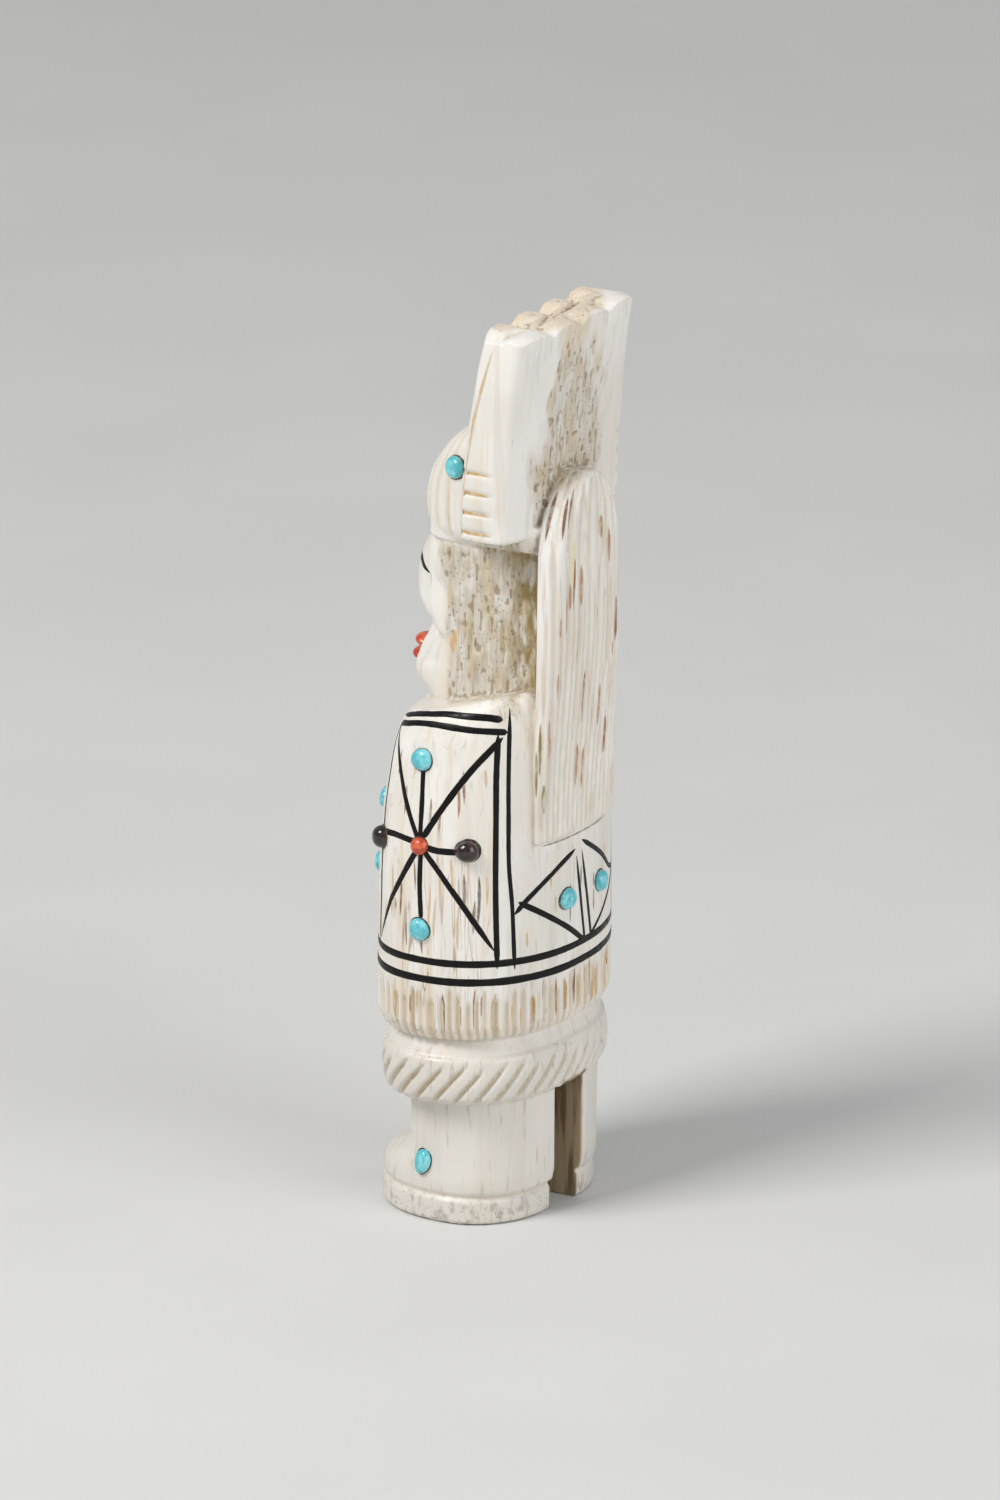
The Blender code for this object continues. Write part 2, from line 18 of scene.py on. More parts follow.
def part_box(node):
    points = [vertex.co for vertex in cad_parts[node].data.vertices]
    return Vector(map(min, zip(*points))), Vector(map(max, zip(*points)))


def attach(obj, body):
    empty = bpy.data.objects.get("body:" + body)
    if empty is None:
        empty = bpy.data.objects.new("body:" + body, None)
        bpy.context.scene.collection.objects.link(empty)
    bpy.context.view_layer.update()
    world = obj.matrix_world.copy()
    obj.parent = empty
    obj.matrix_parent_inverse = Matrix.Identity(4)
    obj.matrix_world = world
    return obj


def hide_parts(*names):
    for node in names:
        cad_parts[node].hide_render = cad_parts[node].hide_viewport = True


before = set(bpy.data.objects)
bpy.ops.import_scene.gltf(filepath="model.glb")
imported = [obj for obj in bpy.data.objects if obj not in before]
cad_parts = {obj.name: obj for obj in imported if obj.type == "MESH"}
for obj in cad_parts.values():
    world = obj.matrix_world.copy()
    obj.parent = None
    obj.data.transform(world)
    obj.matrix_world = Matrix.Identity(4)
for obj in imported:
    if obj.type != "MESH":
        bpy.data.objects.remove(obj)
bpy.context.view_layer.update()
MM = 0.001

# Heights of the main divisions, as in the model's source
TOTAL_HEIGHT = 115.2
SOLE_HEIGHT = 3.4
RUFFLE_BOTTOM = 16.3
FRINGE_BOTTOM = 24.9
FRINGE_HEIGHT = 7.0
SHOULDER_HEIGHT = 66.1
HAIR_BOTTOM = 49.8
HAIR_PEAK = 95.8
BANGS_BOTTOM = 85.9
BANGS_PEAK = 100.0
HEADDRESS_BOTTOM = 88.5
SET_IN = 1.2

# Boots, manta and ruffle
CLEFT_WIDTH = 5.2
BOOT_REACH = 14.0
TOE_Y = -13.0
HEEL_Y = 9.2
BOOT_MIDDLE_Y = -0.8
RIGHT_BOOT_SETBACK = 0.7
TOE_ROUNDING = 3.5
BODY_HALF_WIDTH = 17.5
BODY_FRONT_Y = -12.5
BODY_BACK_Y = 12.1
BODY_MIDDLE_Y = -1.5
SHOULDER_TILT = 0.26
RUFFLE_HALF_WIDTH = 17.1
RUFFLE_FRONT_Y = -12.0
RUFFLE_BACK_Y = 11.7
FLUTES = 80
FLUTE_DEPTH = 0.45
RUFFLE_GROOVES = 35
RUFFLE_GROOVE_DEPTH = 0.65
RUFFLE_LEAN = 0.8

# Head, bangs, hair and headdress
HEAD_HALF_WIDTH = 7.0
FACE_Y = -10.3
HEAD_MIDDLE_Y = -3.0
NAPE_Y = 12.5
NOSE_RISE = 1.7
NOSE_SHARE = 0.42
NOSE_SHARE_REACH = 0.13
NOSE_HALF_WIDTH = 2.2
MOUTH_SIDE_RECESS = 1.3
CROWN_SHARE = 0.86
BANGS_HALF_WIDTH = 8.5
BANGS_FRONT_Y = -8.4
HAIR_HALF_WIDTH = 8.6
HAIR_MIDDLE_X = 0.5
HAIR_ROOT_Y = 8.6
HAIR_EDGE_Y = 11.0
HAIR_BACK_Y = 14.2
HAIR_STRANDS = 9
STRAND_DEPTH = 0.5
HEADDRESS_HALF_WIDTH = 13.7
HEADDRESS_THICKNESS = 8.2
HEADDRESS_FRONT_Y = 1.7
HEADDRESS_LEAN = 3.6
FEATHERS = 4
FEATHER_SCALLOP = 1.2
FEATHER_GROOVE_DEPTH = 0.6
BANGS_RIBS = 12
BANGS_GROOVE_DEPTH = 0.55
NOTCHES = 4
NOTCH_PITCH = 2.55
NOTCH_DEPTH = 0.34
NOTCH_HALF_HEIGHT = 0.42

# Stones
STONE_SINK = 0.8
TURQUOISE_RADIUS = 1.38
JET_RADIUS = 1.45
CORAL_RADIUS = 1.15
LIP_HALF_WIDTH = 1.9
LIP_HALF_HEIGHT = 0.78
LIP_RISE = 1.5
LIP_GAP = 0.3
STAR_MIDDLE = 0.606
STAR_REACH = 0.258
FOOT_STONE_SCALE = 0.87
FOOT_STONE_TALL = 1.2

# The rim of glue round a stone: its spread from the stone's outline and its lift
GLUE_PROFILE = [(0.9, -0.3), (1.0, 0.1), (1.06, 0.09), (1.13, -0.12)]

# Fineness of the skin
VOXEL = 0.22
SKIN_TRIANGLES = 190000
STAIN_REACH = 0.45
SOFTENING = 0.4
HOLLOW_FULL = 0.02
CORE_HALF_WIDTH = 11.2
CORE_MIDDLE_Y = 3.0
CORE_REACH_Y = 9.4
LINE_STEP = 0.3

# The camera, fitted to the photograph: its direction, distance and the width of 36 mm film at it
CAMERA_AZIMUTH = 121.09
CAMERA_ELEVATION = 18.28
CAMERA_DISTANCE = 1500.0
CAMERA_TARGET_HEIGHT = 58.0
CAMERA_RIGHT = 0.225
CAMERA_UP = -0.434
CAMERA_LENS = 292.63
FILM_WIDTH = 36.0

# The lights, in watts and metres, and the surroundings
KEY_POWER, KEY_SIZE, KEY_DISTANCE = 8.0, 0.4, 1.1
FILL_POWER, FILL_SIZE, FILL_DISTANCE = 6.6, 0.9, 1.3
LIGHT_AIM_HEIGHT = 0.055
WORLD_STRENGTH = 0.45
FLOOR_REACH = 3.0
FLOOR_DROP = 0.0001

# The figure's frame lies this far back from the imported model's
SHIFT = Vector((0.0, HAIR_BACK_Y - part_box("antler_carving")[1][1] / MM, 0.0))

# A level of a form: share of its height, then shares of its half width, front and back reach
Level = namedtuple("Level", "height width front back")


def levels(*rows):
    return [Level(*row) for row in rows]


SOLE_LEVELS = levels(
    (0.0, 0.97, 0.97, 0.97), (0.15, 1.0, 1.0, 0.99), (0.86, 1.0, 1.0, 0.99),
    (1.0, 0.95, 0.96, 0.95),
)

BOOT_LEVELS = levels(
    (0.05, 0.98, 0.99, 1.03), (0.13, 0.98, 0.98, 1.05), (0.21, 0.97, 0.92, 1.06),
    (0.28, 0.965, 0.8, 1.06), (0.33, 0.96, 0.67, 1.06), (0.42, 0.96, 0.61, 1.06),
    (1.0, 0.98, 0.6, 1.07),
)

RUFFLE_LEVELS = levels(
    (0.0, 0.93, 0.88, 0.92), (0.11, 0.99, 0.96, 0.98), (0.31, 1.0, 1.0, 1.0),
    (0.55, 0.99, 0.98, 0.98), (0.72, 0.95, 0.93, 0.95), (0.85, 0.91, 0.87, 0.9),
    (1.0, 0.89, 0.85, 0.88),
)

FRINGE_LEVELS = levels(
    (0.0, 0.94, 0.91, 0.93), (0.1, 0.975, 0.96, 0.975), (0.3, 1.0, 1.0, 1.0),
    (1.0, 1.0, 1.0, 1.0),
)

CLOTH_LEVELS = levels(
    (0.08, 0.995, 0.99, 1.0), (0.37, 0.99, 0.97, 1.0), (0.6, 0.97, 0.93, 0.99),
    (0.75, 0.93, 0.865, 0.985), (0.87, 0.88, 0.8, 0.98), (0.94, 0.83, 0.745, 0.975),
    (0.98, 0.785, 0.68, 0.955), (1.0, 0.73, 0.6, 0.91),
)

HEAD_LEVELS = levels(
    (0.0, 0.95, 0.56, 1.0), (0.08, 0.97, 0.63, 1.0), (0.13, 1.0, 0.76, 1.0),
    (0.165, 1.0, 0.93, 1.0), (0.205, 1.0, 1.0, 1.0), (0.255, 1.0, 0.98, 1.0),
    (0.31, 1.0, 0.9, 1.0), (0.36, 1.0, 0.73, 1.0), (0.405, 1.0, 0.58, 1.0),
    (0.45, 1.0, 0.6, 1.0), (0.5, 1.0, 0.79, 1.0), (0.56, 1.0, 0.93, 1.0),
    (0.62, 1.0, 0.945, 1.0), (0.7, 1.0, 0.91, 1.0), (0.79, 1.0, 0.79, 1.0),
    (0.86, 1.0, 0.6, 1.0), (0.89, 1.24, 0.5, 0.89), (1.0, 1.3, 0.45, 0.89),
)

BANGS_LEVELS = levels(
    (0.0, 0.8, 0.6, 1.0), (0.05, 0.91, 0.8, 1.0), (0.16, 0.98, 0.97, 1.0),
    (0.33, 1.0, 1.0, 1.0), (0.55, 0.99, 0.91, 1.0), (0.75, 0.93, 0.71, 1.0),
    (0.91, 0.82, 0.46, 1.0), (1.0, 0.66, 0.22, 1.0),
)

HAIR_LEVELS = levels(
    (0.0, 1.06, 1.0, 0.44), (0.1, 1.06, 1.0, 0.52), (0.35, 1.04, 1.0, 0.77),
    (0.62, 1.0, 1.0, 1.0), (0.78, 0.98, 1.0, 1.0), (0.87, 0.85, 1.0, 1.0),
    (0.94, 0.62, 1.0, 1.0), (0.98, 0.36, 1.0, 0.97), (1.0, 0.12, 1.0, 0.95),
)


def colour(red, green, blue):
    """A colour given as it looks on a screen, from 0 to 255, in the shader's own values."""
    def linear(value):
        value /= 255.0
        return value / 12.92 if value <= 0.04045 else ((value + 0.055) / 1.055) ** 2.4
    return (linear(red), linear(green), linear(blue))


def smooth_line(at, known, values):
    """A curve through the values that never overshoots them, read at the given places."""
    known, values = np.asarray(known), np.asarray(values)
    gaps = np.diff(known)
    slopes = np.diff(values) / gaps
    ends = np.concatenate([[slopes[0]], np.zeros(len(slopes) - 1), [slopes[-1]]])
    rising = slopes[:-1] * slopes[1:] > 0
    mean = np.zeros(len(slopes) - 1)
    mean[rising] = 2 * slopes[:-1][rising] * slopes[1:][rising] / (slopes[:-1] + slopes[1:])[rising]
    ends[1:-1] = mean
    at = np.clip(at, known[0], known[-1])
    index = np.clip(np.searchsorted(known, at, side="right") - 1, 0, len(gaps) - 1)
    part = (at - known[index]) / gaps[index]
    rest = 1 - part
    return (values[index] * (1 + 2 * part) * rest ** 2 + values[index + 1] * (3 - 2 * part) * part ** 2
            + gaps[index] * (ends[index] * part * rest ** 2 - ends[index + 1] * part ** 2 * rest))


def ease(low, high, value):
    """0 below the low bound, 1 above the high one and a smooth rise between them."""
    part = np.clip((value - low) / (high - low), 0.0, 1.0)
    return part * part * (3 - 2 * part)


class Form:
    """A rounded form: sections stacked between two heights, each wider or deeper by its level."""

    def __init__(self, levels, bottom, top, half_width, front, back, middle, powers, tilt=0.0):
        self.levels = levels
        self.bottom, self.top = bottom, top
        self.half_width = half_width
        self.middle_x, self.middle_y = middle
        self.front_reach = middle[1] - front
        self.back_reach = back - middle[1]
        self.front_power, self.back_power = powers
        self.tilt = tilt

    def surface(self, share, angle, straight=False):
        """Points of the skin, for arrays of shares of the height and angles from +X to +Y."""
        read = np.interp if straight else smooth_line
        heights = [level.height for level in self.levels]
        width = self.half_width * read(share, heights, [level.width for level in self.levels])
        front = self.front_reach * read(share, heights, [level.front for level in self.levels])
        back = self.back_reach * read(share, heights, [level.back for level in self.levels])
        cosine, sine = np.cos(angle), np.sin(angle)
        depth = np.where(sine < 0, front, back)
        power = np.where(sine < 0, self.front_power, self.back_power)
        reach = ((np.abs(cosine) / width) ** power + (np.abs(sine) / depth) ** power) ** (-1 / power)
        y = self.middle_y + reach * sine
        height = self.bottom + share * (self.top - self.bottom)
        height = height + self.tilt * share ** 3 * (y - self.middle_y)
        return np.stack(np.broadcast_arrays(self.middle_x + reach * cosine, y, height), axis=-1)

    def point(self, share, angle):
        """One point of the plain solid's skin."""
        return Vector(self.surface(np.float64(share), np.float64(angle), straight=True))

    def seat(self, share, angle):
        """A place on the surface whose +Z points outwards and whose +Y points up the form."""
        here = self.point(share, angle)
        across = self.point(share, angle + 0.02) - self.point(share, angle - 0.02)
        along = self.point(share + 0.01, angle) - self.point(share - 0.01, angle)
        outward = across.cross(along).normalized()
        side = along.cross(outward).normalized()
        place = Matrix((side, outward.cross(side), outward)).transposed().to_4x4()
        place.translation = here
        return place


def stacked(lower, upper, split):
    """Two lists of levels as one, the lower one up to the split share and the other above it."""
    levels = [level._replace(height=level.height * split) for level in lower]
    levels += [level._replace(height=split + level.height * (1.0 - split)) for level in upper]
    return levels


BOOT_TOP = RUFFLE_BOTTOM + SET_IN
BOOT = Form(stacked(SOLE_LEVELS, BOOT_LEVELS, SOLE_HEIGHT / BOOT_TOP), 0.0, BOOT_TOP,
            BOOT_REACH - CLEFT_WIDTH / 2, TOE_Y, HEEL_Y, (CLEFT_WIDTH / 2, BOOT_MIDDLE_Y), (2.2, 2.2))
RUFFLE = Form(RUFFLE_LEVELS, RUFFLE_BOTTOM, FRINGE_BOTTOM + SET_IN, RUFFLE_HALF_WIDTH,
              RUFFLE_FRONT_Y, RUFFLE_BACK_Y, (0.0, BODY_MIDDLE_Y), (2.25, 2.25))
FRINGE_SHARE = FRINGE_HEIGHT / (SHOULDER_HEIGHT - FRINGE_BOTTOM)
BODY = Form(stacked(FRINGE_LEVELS, CLOTH_LEVELS, FRINGE_SHARE), FRINGE_BOTTOM, SHOULDER_HEIGHT,
            BODY_HALF_WIDTH, BODY_FRONT_Y, BODY_BACK_Y, (0.0, BODY_MIDDLE_Y), (2.25, 2.25),
            SHOULDER_TILT)
HEAD = Form(HEAD_LEVELS, SHOULDER_HEIGHT - 3 * SET_IN, HEADDRESS_BOTTOM + SET_IN,
            HEAD_HALF_WIDTH, FACE_Y, NAPE_Y, (0.0, HEAD_MIDDLE_Y), (2.3, 9.0))
BANGS = Form(BANGS_LEVELS, BANGS_BOTTOM, BANGS_PEAK, BANGS_HALF_WIDTH, BANGS_FRONT_Y,
             HEADDRESS_FRONT_Y + 4.0, (0.0, 0.0), (2.3, 6.0))
HAIR = Form(HAIR_LEVELS, HAIR_BOTTOM, HAIR_PEAK, HAIR_HALF_WIDTH, HAIR_ROOT_Y, HAIR_BACK_Y,
            (HAIR_MIDDLE_X, HAIR_EDGE_Y), (2.0, 2.8))


def noise(points, size, seed):
    """Smooth random values from -1 to 1 at points, the same every time; size may be one per axis."""
    cells = points / np.asarray(size, dtype=float)
    base = np.floor(cells).astype(np.int64)
    part = cells - base
    part = part * part * (3 - 2 * part)
    total = np.zeros(len(points))
    for corner in product((0, 1), repeat=3):
        spot = base + corner
        key = spot[:, 0] * 73856093 ^ spot[:, 1] * 19349663 ^ spot[:, 2] * 83492791 ^ seed * 6364136
        key = (key ^ key >> 13) * 1274126177 & 0x7FFFFFFF
        key = (key ^ key >> 16) * 668265263 & 0x7FFFFFFF
        weight = np.prod(np.where(corner, part, 1 - part), axis=1)
        total += weight * (key / 0x3FFFFFFF - 1)
    return total


class Shells:
    """Gathers closed skins made from grids of points, to be melted into one."""

    def __init__(self):
        self.points = []
        self.faces = []
        self.stained = []
        self.count = 0

    def add(self, grid, stain=None):
        """A skin from rows of points that go round anticlockwise, lowest row first.

        The stain says how far dirt has coloured each point of a groove.
        """
        if stain is not None:
            stain = np.broadcast_to(stain, grid.shape[:2])
            kept = stain > 0.03
            self.stained.append(np.concatenate([grid[kept], stain[kept][:, None]], axis=1))
        rows, columns = grid.shape[:2]
        index = self.count + np.arange(rows * columns).reshape(rows, columns)
        after = np.roll(index, -1, axis=1)
        quads = np.stack([index[:-1], after[:-1], after[1:], index[1:]], axis=-1).reshape(-1, 4)
        self.faces += quads.tolist()
        self.faces.append(index[0][::-1].tolist())
        self.faces.append(index[-1].tolist())
        self.points.append(grid.reshape(-1, 3))
        self.count += rows * columns


def inward(grid):
    """Unit directions square to each ring's outline, towards its inside."""
    along = np.roll(grid, -1, axis=1) - np.roll(grid, 1, axis=1)
    side = np.stack([-along[..., 1], along[..., 0], np.zeros(along.shape[:2])], axis=-1)
    return side / np.maximum(np.linalg.norm(side, axis=-1, keepdims=True), 1e-9)


def along_rows(grid):
    """How far along its row each point lies, in millimetres."""
    steps = np.linalg.norm(np.diff(grid, axis=1), axis=-1)
    return np.concatenate([np.zeros((len(grid), 1)), np.cumsum(steps, axis=1)], axis=1)


def way_round(grid):
    """How far along its ring each point lies, as a share of the ring."""
    along = along_rows(grid)
    return along / (along[:, -1:] + np.linalg.norm(grid[:, :1] - grid[:, -1:], axis=-1))


def ripple(phase, width):
    """1 in the middle of a groove at each whole phase, falling to 0 at its width either side."""
    away = np.abs(phase - np.round(phase))
    return np.clip(1 - (away / width) ** 2, 0.0, 1.0)


def scallop(phase):
    """1 at each whole phase and 0 half way between, the hollows between round strands."""
    rise = 1 - 2 * np.abs(phase - np.round(phase))
    return 1 - np.sqrt(np.clip(1 - rise ** 2, 0.0, None))


def inner_only(phase, count):
    """1 at the grooves that lie between strands, 0 at the first and the last phase."""
    return (np.round(phase) > 0) & (np.round(phase) < count)


def share_rows(rows):
    """Shares of a form's height, one row each."""
    return np.linspace(0.0, 1.0, rows)[:, None]


def closed_ring(rows, columns):
    """Shares and angles for a form that goes all the way round, from the middle of its front."""
    return share_rows(rows), np.radians(-90.0 + 360.0 * np.arange(columns) / columns)[None, :]


def half_ring(form, rows, start, outer, inner):
    """A form with fine steps over its outer half and coarse ones over its hidden inner half.

    Gives the shares, the grid and how far along the outer half each of its points lies.
    """
    shares = share_rows(rows)
    turns = np.concatenate([np.linspace(start, start + 180.0, outer),
                            np.linspace(start + 200.0, start + 340.0, inner)])
    grid = form.surface(shares, np.radians(turns)[None, :])
    along = along_rows(grid[:, :outer])
    return shares, grid, along / along[:, -1:]


def add_grooved_half(shells, grid, depth, stain):
    """A skin whose outer half is pressed in by a depth and stained; the inner half stays plain."""
    outer = depth.shape[1]
    grid[:, :outer] += inward(grid)[:, :outer] * depth[..., None]
    shells.add(grid, np.pad(stain, ((0, 0), (0, grid.shape[1] - outer))))


def add_boots(shells):
    """Two boots with flat walls at the cleft, the right one set back a little."""
    grid = BOOT.surface(share_rows(160), np.radians(np.linspace(-90.0, 90.0, 220))[None, :])
    from_wall = (grid[..., 0] - BOOT.middle_x) / TOE_ROUNDING
    at_toe = (grid[..., 1] < BOOT.middle_y) & (from_wall < 1.0)
    grid[..., 1] += np.where(at_toe, 0.35 * TOE_ROUNDING * (1.0 - from_wall) ** 2, 0.0)
    shells.add(grid)
    other = grid[:, ::-1].copy()
    other[..., 0] *= -1
    other[..., 1] += RIGHT_BOOT_SETBACK
    shells.add(other)


def add_ruffle(shells):
    shares, angles = closed_ring(110, 900)
    grid = RUFFLE.surface(shares, angles)
    height = shares * (RUFFLE.top - RUFFLE.bottom)
    phase = way_round(grid) * RUFFLE_GROOVES - RUFFLE_LEAN * height * 0.42
    top = 0.66 + 0.05 * np.sin(np.round(phase) * 2.3)
    fade = ease(-0.2, 0.15, shares) * (1 - ease(0.55, 1.0, shares / top))
    groove = ripple(phase, 0.06 + 0.14 * fade)
    crease = np.clip(1 - ((shares - 0.64) / 0.022) ** 2, 0.0, 1.0)
    depth = RUFFLE_GROOVE_DEPTH * 1.35 * fade * groove + 0.35 * ease(0.62, 0.66, shares) + 0.2 * crease
    shells.add(grid + inward(grid) * depth[..., None], 0.42 * groove * fade)


def add_body(shells):
    shares, angles = closed_ring(260, 1200)
    grid = BODY.surface(shares, angles)
    place = way_round(grid)
    wobble = 0.16 * np.sin(place * 61.0) + 0.13 * np.sin(place * 149.0 + 1.3)
    phase = place * FLUTES + wobble
    strength = 0.55 + 0.45 * np.sin(np.round(phase) * 2.1) * np.sin(np.round(phase) * 0.73)
    top = FRINGE_SHARE * (0.92 + 0.12 * np.sin(np.round(phase) * 1.7))
    fade = 1 - ease(top * 0.75, top * 1.05, shares)
    groove = ripple(phase, 0.36) * fade
    depth = FLUTE_DEPTH * (0.8 + 0.9 * strength) * groove
    shells.add(grid + inward(grid) * depth[..., None], (0.25 + 0.4 * strength) * groove)


def add_head(shells):
    """The head with its nose, hollows beside the mouth and a crown kept behind the bangs."""
    shares, angles = closed_ring(220, 520)
    grid = HEAD.surface(shares, angles)
    along_nose = ease(0.0, 1.0, 1.0 - np.abs(shares - NOSE_SHARE) / NOSE_SHARE_REACH)
    across = np.clip(1.0 - (grid[..., 0] / NOSE_HALF_WIDTH) ** 2, 0.0, 1.0)
    limit = HEAD_HALF_WIDTH + 0.3 + 2.1 * ease(0.8, 2.6, grid[..., 1])
    limit = np.where(shares > CROWN_SHARE, limit, BODY_HALF_WIDTH)
    grid[..., 0] = np.clip(grid[..., 0], -limit, limit)
    front = grid[..., 1] < HEAD.middle_y
    grid[..., 1] -= np.where(front, NOSE_RISE * along_nose * across, 0.0)
    height = grid[..., 2]
    beside_mouth = ease(68.9, 70.3, height) * (1 - ease(72.6, 74.6, height))
    beside_mouth *= ease(LIP_HALF_WIDTH, LIP_HALF_WIDTH + 2.8, np.abs(grid[..., 0]))
    grid[..., 1] += np.where(front, MOUTH_SIDE_RECESS * beside_mouth, 0.0)
    shells.add(grid)


def add_bangs(shells):
    shares, grid, place = half_ring(BANGS, 140, -180.0, 420, 60)
    phase = place * BANGS_RIBS
    groove = scallop(phase) * ease(0.0, 0.12, shares) * inner_only(phase, BANGS_RIBS)
    add_grooved_half(shells, grid, BANGS_GROOVE_DEPTH * groove, 0.6 * groove)


def add_hair(shells):
    """The hair at the back: strands with a finer line in each, which fades towards the peak."""
    shares, grid, place = half_ring(HAIR, 300, 0.0, 620, 40)
    phase = place * HAIR_STRANDS + 0.06 * np.sin(shares * 9.0)
    groove = scallop(phase) * inner_only(phase, HAIR_STRANDS)
    at_peak = ease(0.72, 0.95, shares)
    minor = ripple(phase + 0.5, 0.16) * (1 - ease(0.55, 0.8, shares))
    depth = STRAND_DEPTH * (1.4 + 0.5 * at_peak) * groove + 0.7 * STRAND_DEPTH * minor
    add_grooved_half(shells, grid, depth, (0.36 + 0.3 * at_peak) * groove + 0.25 * minor)


def notch_height(index):
    """The height of a notch, counted from the lowest."""
    return HEADDRESS_BOTTOM + 1.1 + index * NOTCH_PITCH


def incised_line(share):
    """How far back the line near the flank's front edge runs, at a share of the headdress's height."""
    return HEADDRESS_FRONT_Y + HEADDRESS_LEAN * share ** 1.5 + 0.55 + 2.0 * share ** 2


def add_headdress(shells):
    """The feather slab: scalloped tips, a groove between feathers and four notches each side."""
    count, body_rows = 460, 150
    places = -np.cos(np.linspace(0.0, np.pi, count)) * 0.35 + np.linspace(-1.0, 1.0, count) * 0.65
    span = TOTAL_HEIGHT - HEADDRESS_BOTTOM
    rows = []
    tip_inset = [0.12, 0.35, 0.75]
    heights = list(HEADDRESS_BOTTOM + span * share_rows(body_rows)[:, 0]) + [TOTAL_HEIGHT] * 3
    for step, height in enumerate(heights):
        share = (height - HEADDRESS_BOTTOM) / span
        half_width = HEADDRESS_HALF_WIDTH * (1.0 - 0.05 * share)
        half_width *= 0.93 + 0.07 * min(1.0, 0.25 + 4.0 * share) ** 0.5
        front = HEADDRESS_FRONT_Y + HEADDRESS_LEAN * share ** 1.5
        back = front + HEADDRESS_THICKNESS * (1.0 - 0.18 * share)
        middle, reach = (front + back) / 2, (back - front) / 2
        reach *= 1.0 - 0.07 * (1 - min(1.0, share / 0.03)) ** 2
        edge = np.clip(1.0 - np.abs(places) ** 9, 0.0, None) ** (1 / 9)
        soft_edge = np.clip(1.0 - np.abs(places) ** 4, 0.0, None) ** (1 / 5)
        back_edge = np.where(places > 0, soft_edge, edge)
        phase = (places + 1.0) * FEATHERS / 2
        groove = ripple(phase, 0.075) * inner_only(phase, FEATHERS) * FEATHER_GROOVE_DEPTH * 1.1
        drop = FEATHER_SCALLOP * np.abs(np.cos(np.pi * phase)) ** 4 * ease(0.8, 1.0, share)
        back_fade = 0.5 * ease(0.8, 1.0, share)
        front_y = middle - reach * edge + groove
        back_y = middle + reach * back_edge - groove * back_fade
        z = np.full(count, height)
        slope = 0.2 * reach * edge * ease(0.8, 1.0, share)
        if step >= body_rows:
            inset = tip_inset[step - body_rows]
            front_y, back_y = front_y + (middle - front_y) * inset, back_y + (middle - back_y) * inset
            slope = slope * (1 - inset)
        front_row = np.stack([half_width * places, front_y, z - drop], axis=-1)
        back_row = np.stack([half_width * places, back_y, z - 0.4 * drop - slope], axis=-1)
        rows.append(np.concatenate([front_row, back_row[::-1][1:-1]]))
    grid = np.array(rows)
    flank = ease(0.84, 0.92, np.abs(grid[..., 0]) / HEADDRESS_HALF_WIDTH)
    from_front = (grid[..., 1] - HEADDRESS_FRONT_Y) / HEADDRESS_THICKNESS
    left = grid[..., 0] > 0
    reached = ease(-0.02, 0.06, from_front) * np.where(left, 1 - ease(0.5, 0.75, from_front), 1.0)
    for index in range(NOTCHES):
        away = np.abs(grid[..., 2] - notch_height(index)) / NOTCH_HALF_HEIGHT
        cut = np.clip(1 - away ** 2, 0.0, 1.0) * flank * reached
        grid[..., 0] -= np.sign(grid[..., 0]) * cut * NOTCH_DEPTH
        grid[..., 1] -= np.where(left, 0.0, 0.4 * cut * ease(0.7, 0.95, from_front))
    share = np.clip((grid[..., 2] - HEADDRESS_BOTTOM) / span, 0.0, 1.0)
    incised = np.clip(1 - ((grid[..., 1] - incised_line(share)) / 0.32) ** 2, 0.0, 1.0) * flank
    incised *= 1 - ease(0.9, 1.0, share)
    grid[..., 0] -= np.sign(grid[..., 0]) * incised * 0.28
    shells.add(grid)


def through_modifier(points, faces, kind, settings, corners_each):
    """A mesh after one modifier, as arrays of points and of faces with 4 or 3 corners each."""
    mesh = bpy.data.meshes.new("skin")
    mesh.from_pydata(points.tolist(), [], faces)
    holder = bpy.data.objects.new("skin", mesh)
    bpy.context.scene.collection.objects.link(holder)
    change = holder.modifiers.new("change", kind)
    for name, value in settings.items():
        setattr(change, name, value)
    graph = bpy.context.evaluated_depsgraph_get()
    result = holder.evaluated_get(graph).to_mesh()
    points = np.empty(len(result.vertices) * 3)
    result.vertices.foreach_get("co", points)
    result.calc_loop_triangles()
    source, field = (result.loops, "vertex_index")
    if corners_each == 3:
        source, field = (result.loop_triangles, "vertices")
    corners = np.empty(len(source) * (3 if corners_each == 3 else 1), dtype=np.int64)
    source.foreach_get(field, corners)
    holder.evaluated_get(graph).to_mesh_clear()
    bpy.data.objects.remove(holder)
    return points.reshape(-1, 3), corners.reshape(-1, corners_each)


def melted(shells):
    """All the skins as one closed mesh of even small quads."""
    return through_modifier(np.concatenate(shells.points), shells.faces, "REMESH",
                            {"mode": "VOXEL", "voxel_size": VOXEL}, 4)


def stains(shells, points):
    """The stain of each point, read from the nearest stained points of the shells."""
    stained = np.concatenate(shells.stained)
    near = KDTree(len(stained))
    for index, spot in enumerate(stained[:, :3]):
        near.insert(spot, index)
    near.balance()
    values = np.zeros(len(points))
    for index, spot in enumerate(points):
        _, found, away = near.find(spot)
        if away < STAIN_REACH:
            values[index] = stained[found, 3] * (1.0 - away / STAIN_REACH)
    return values


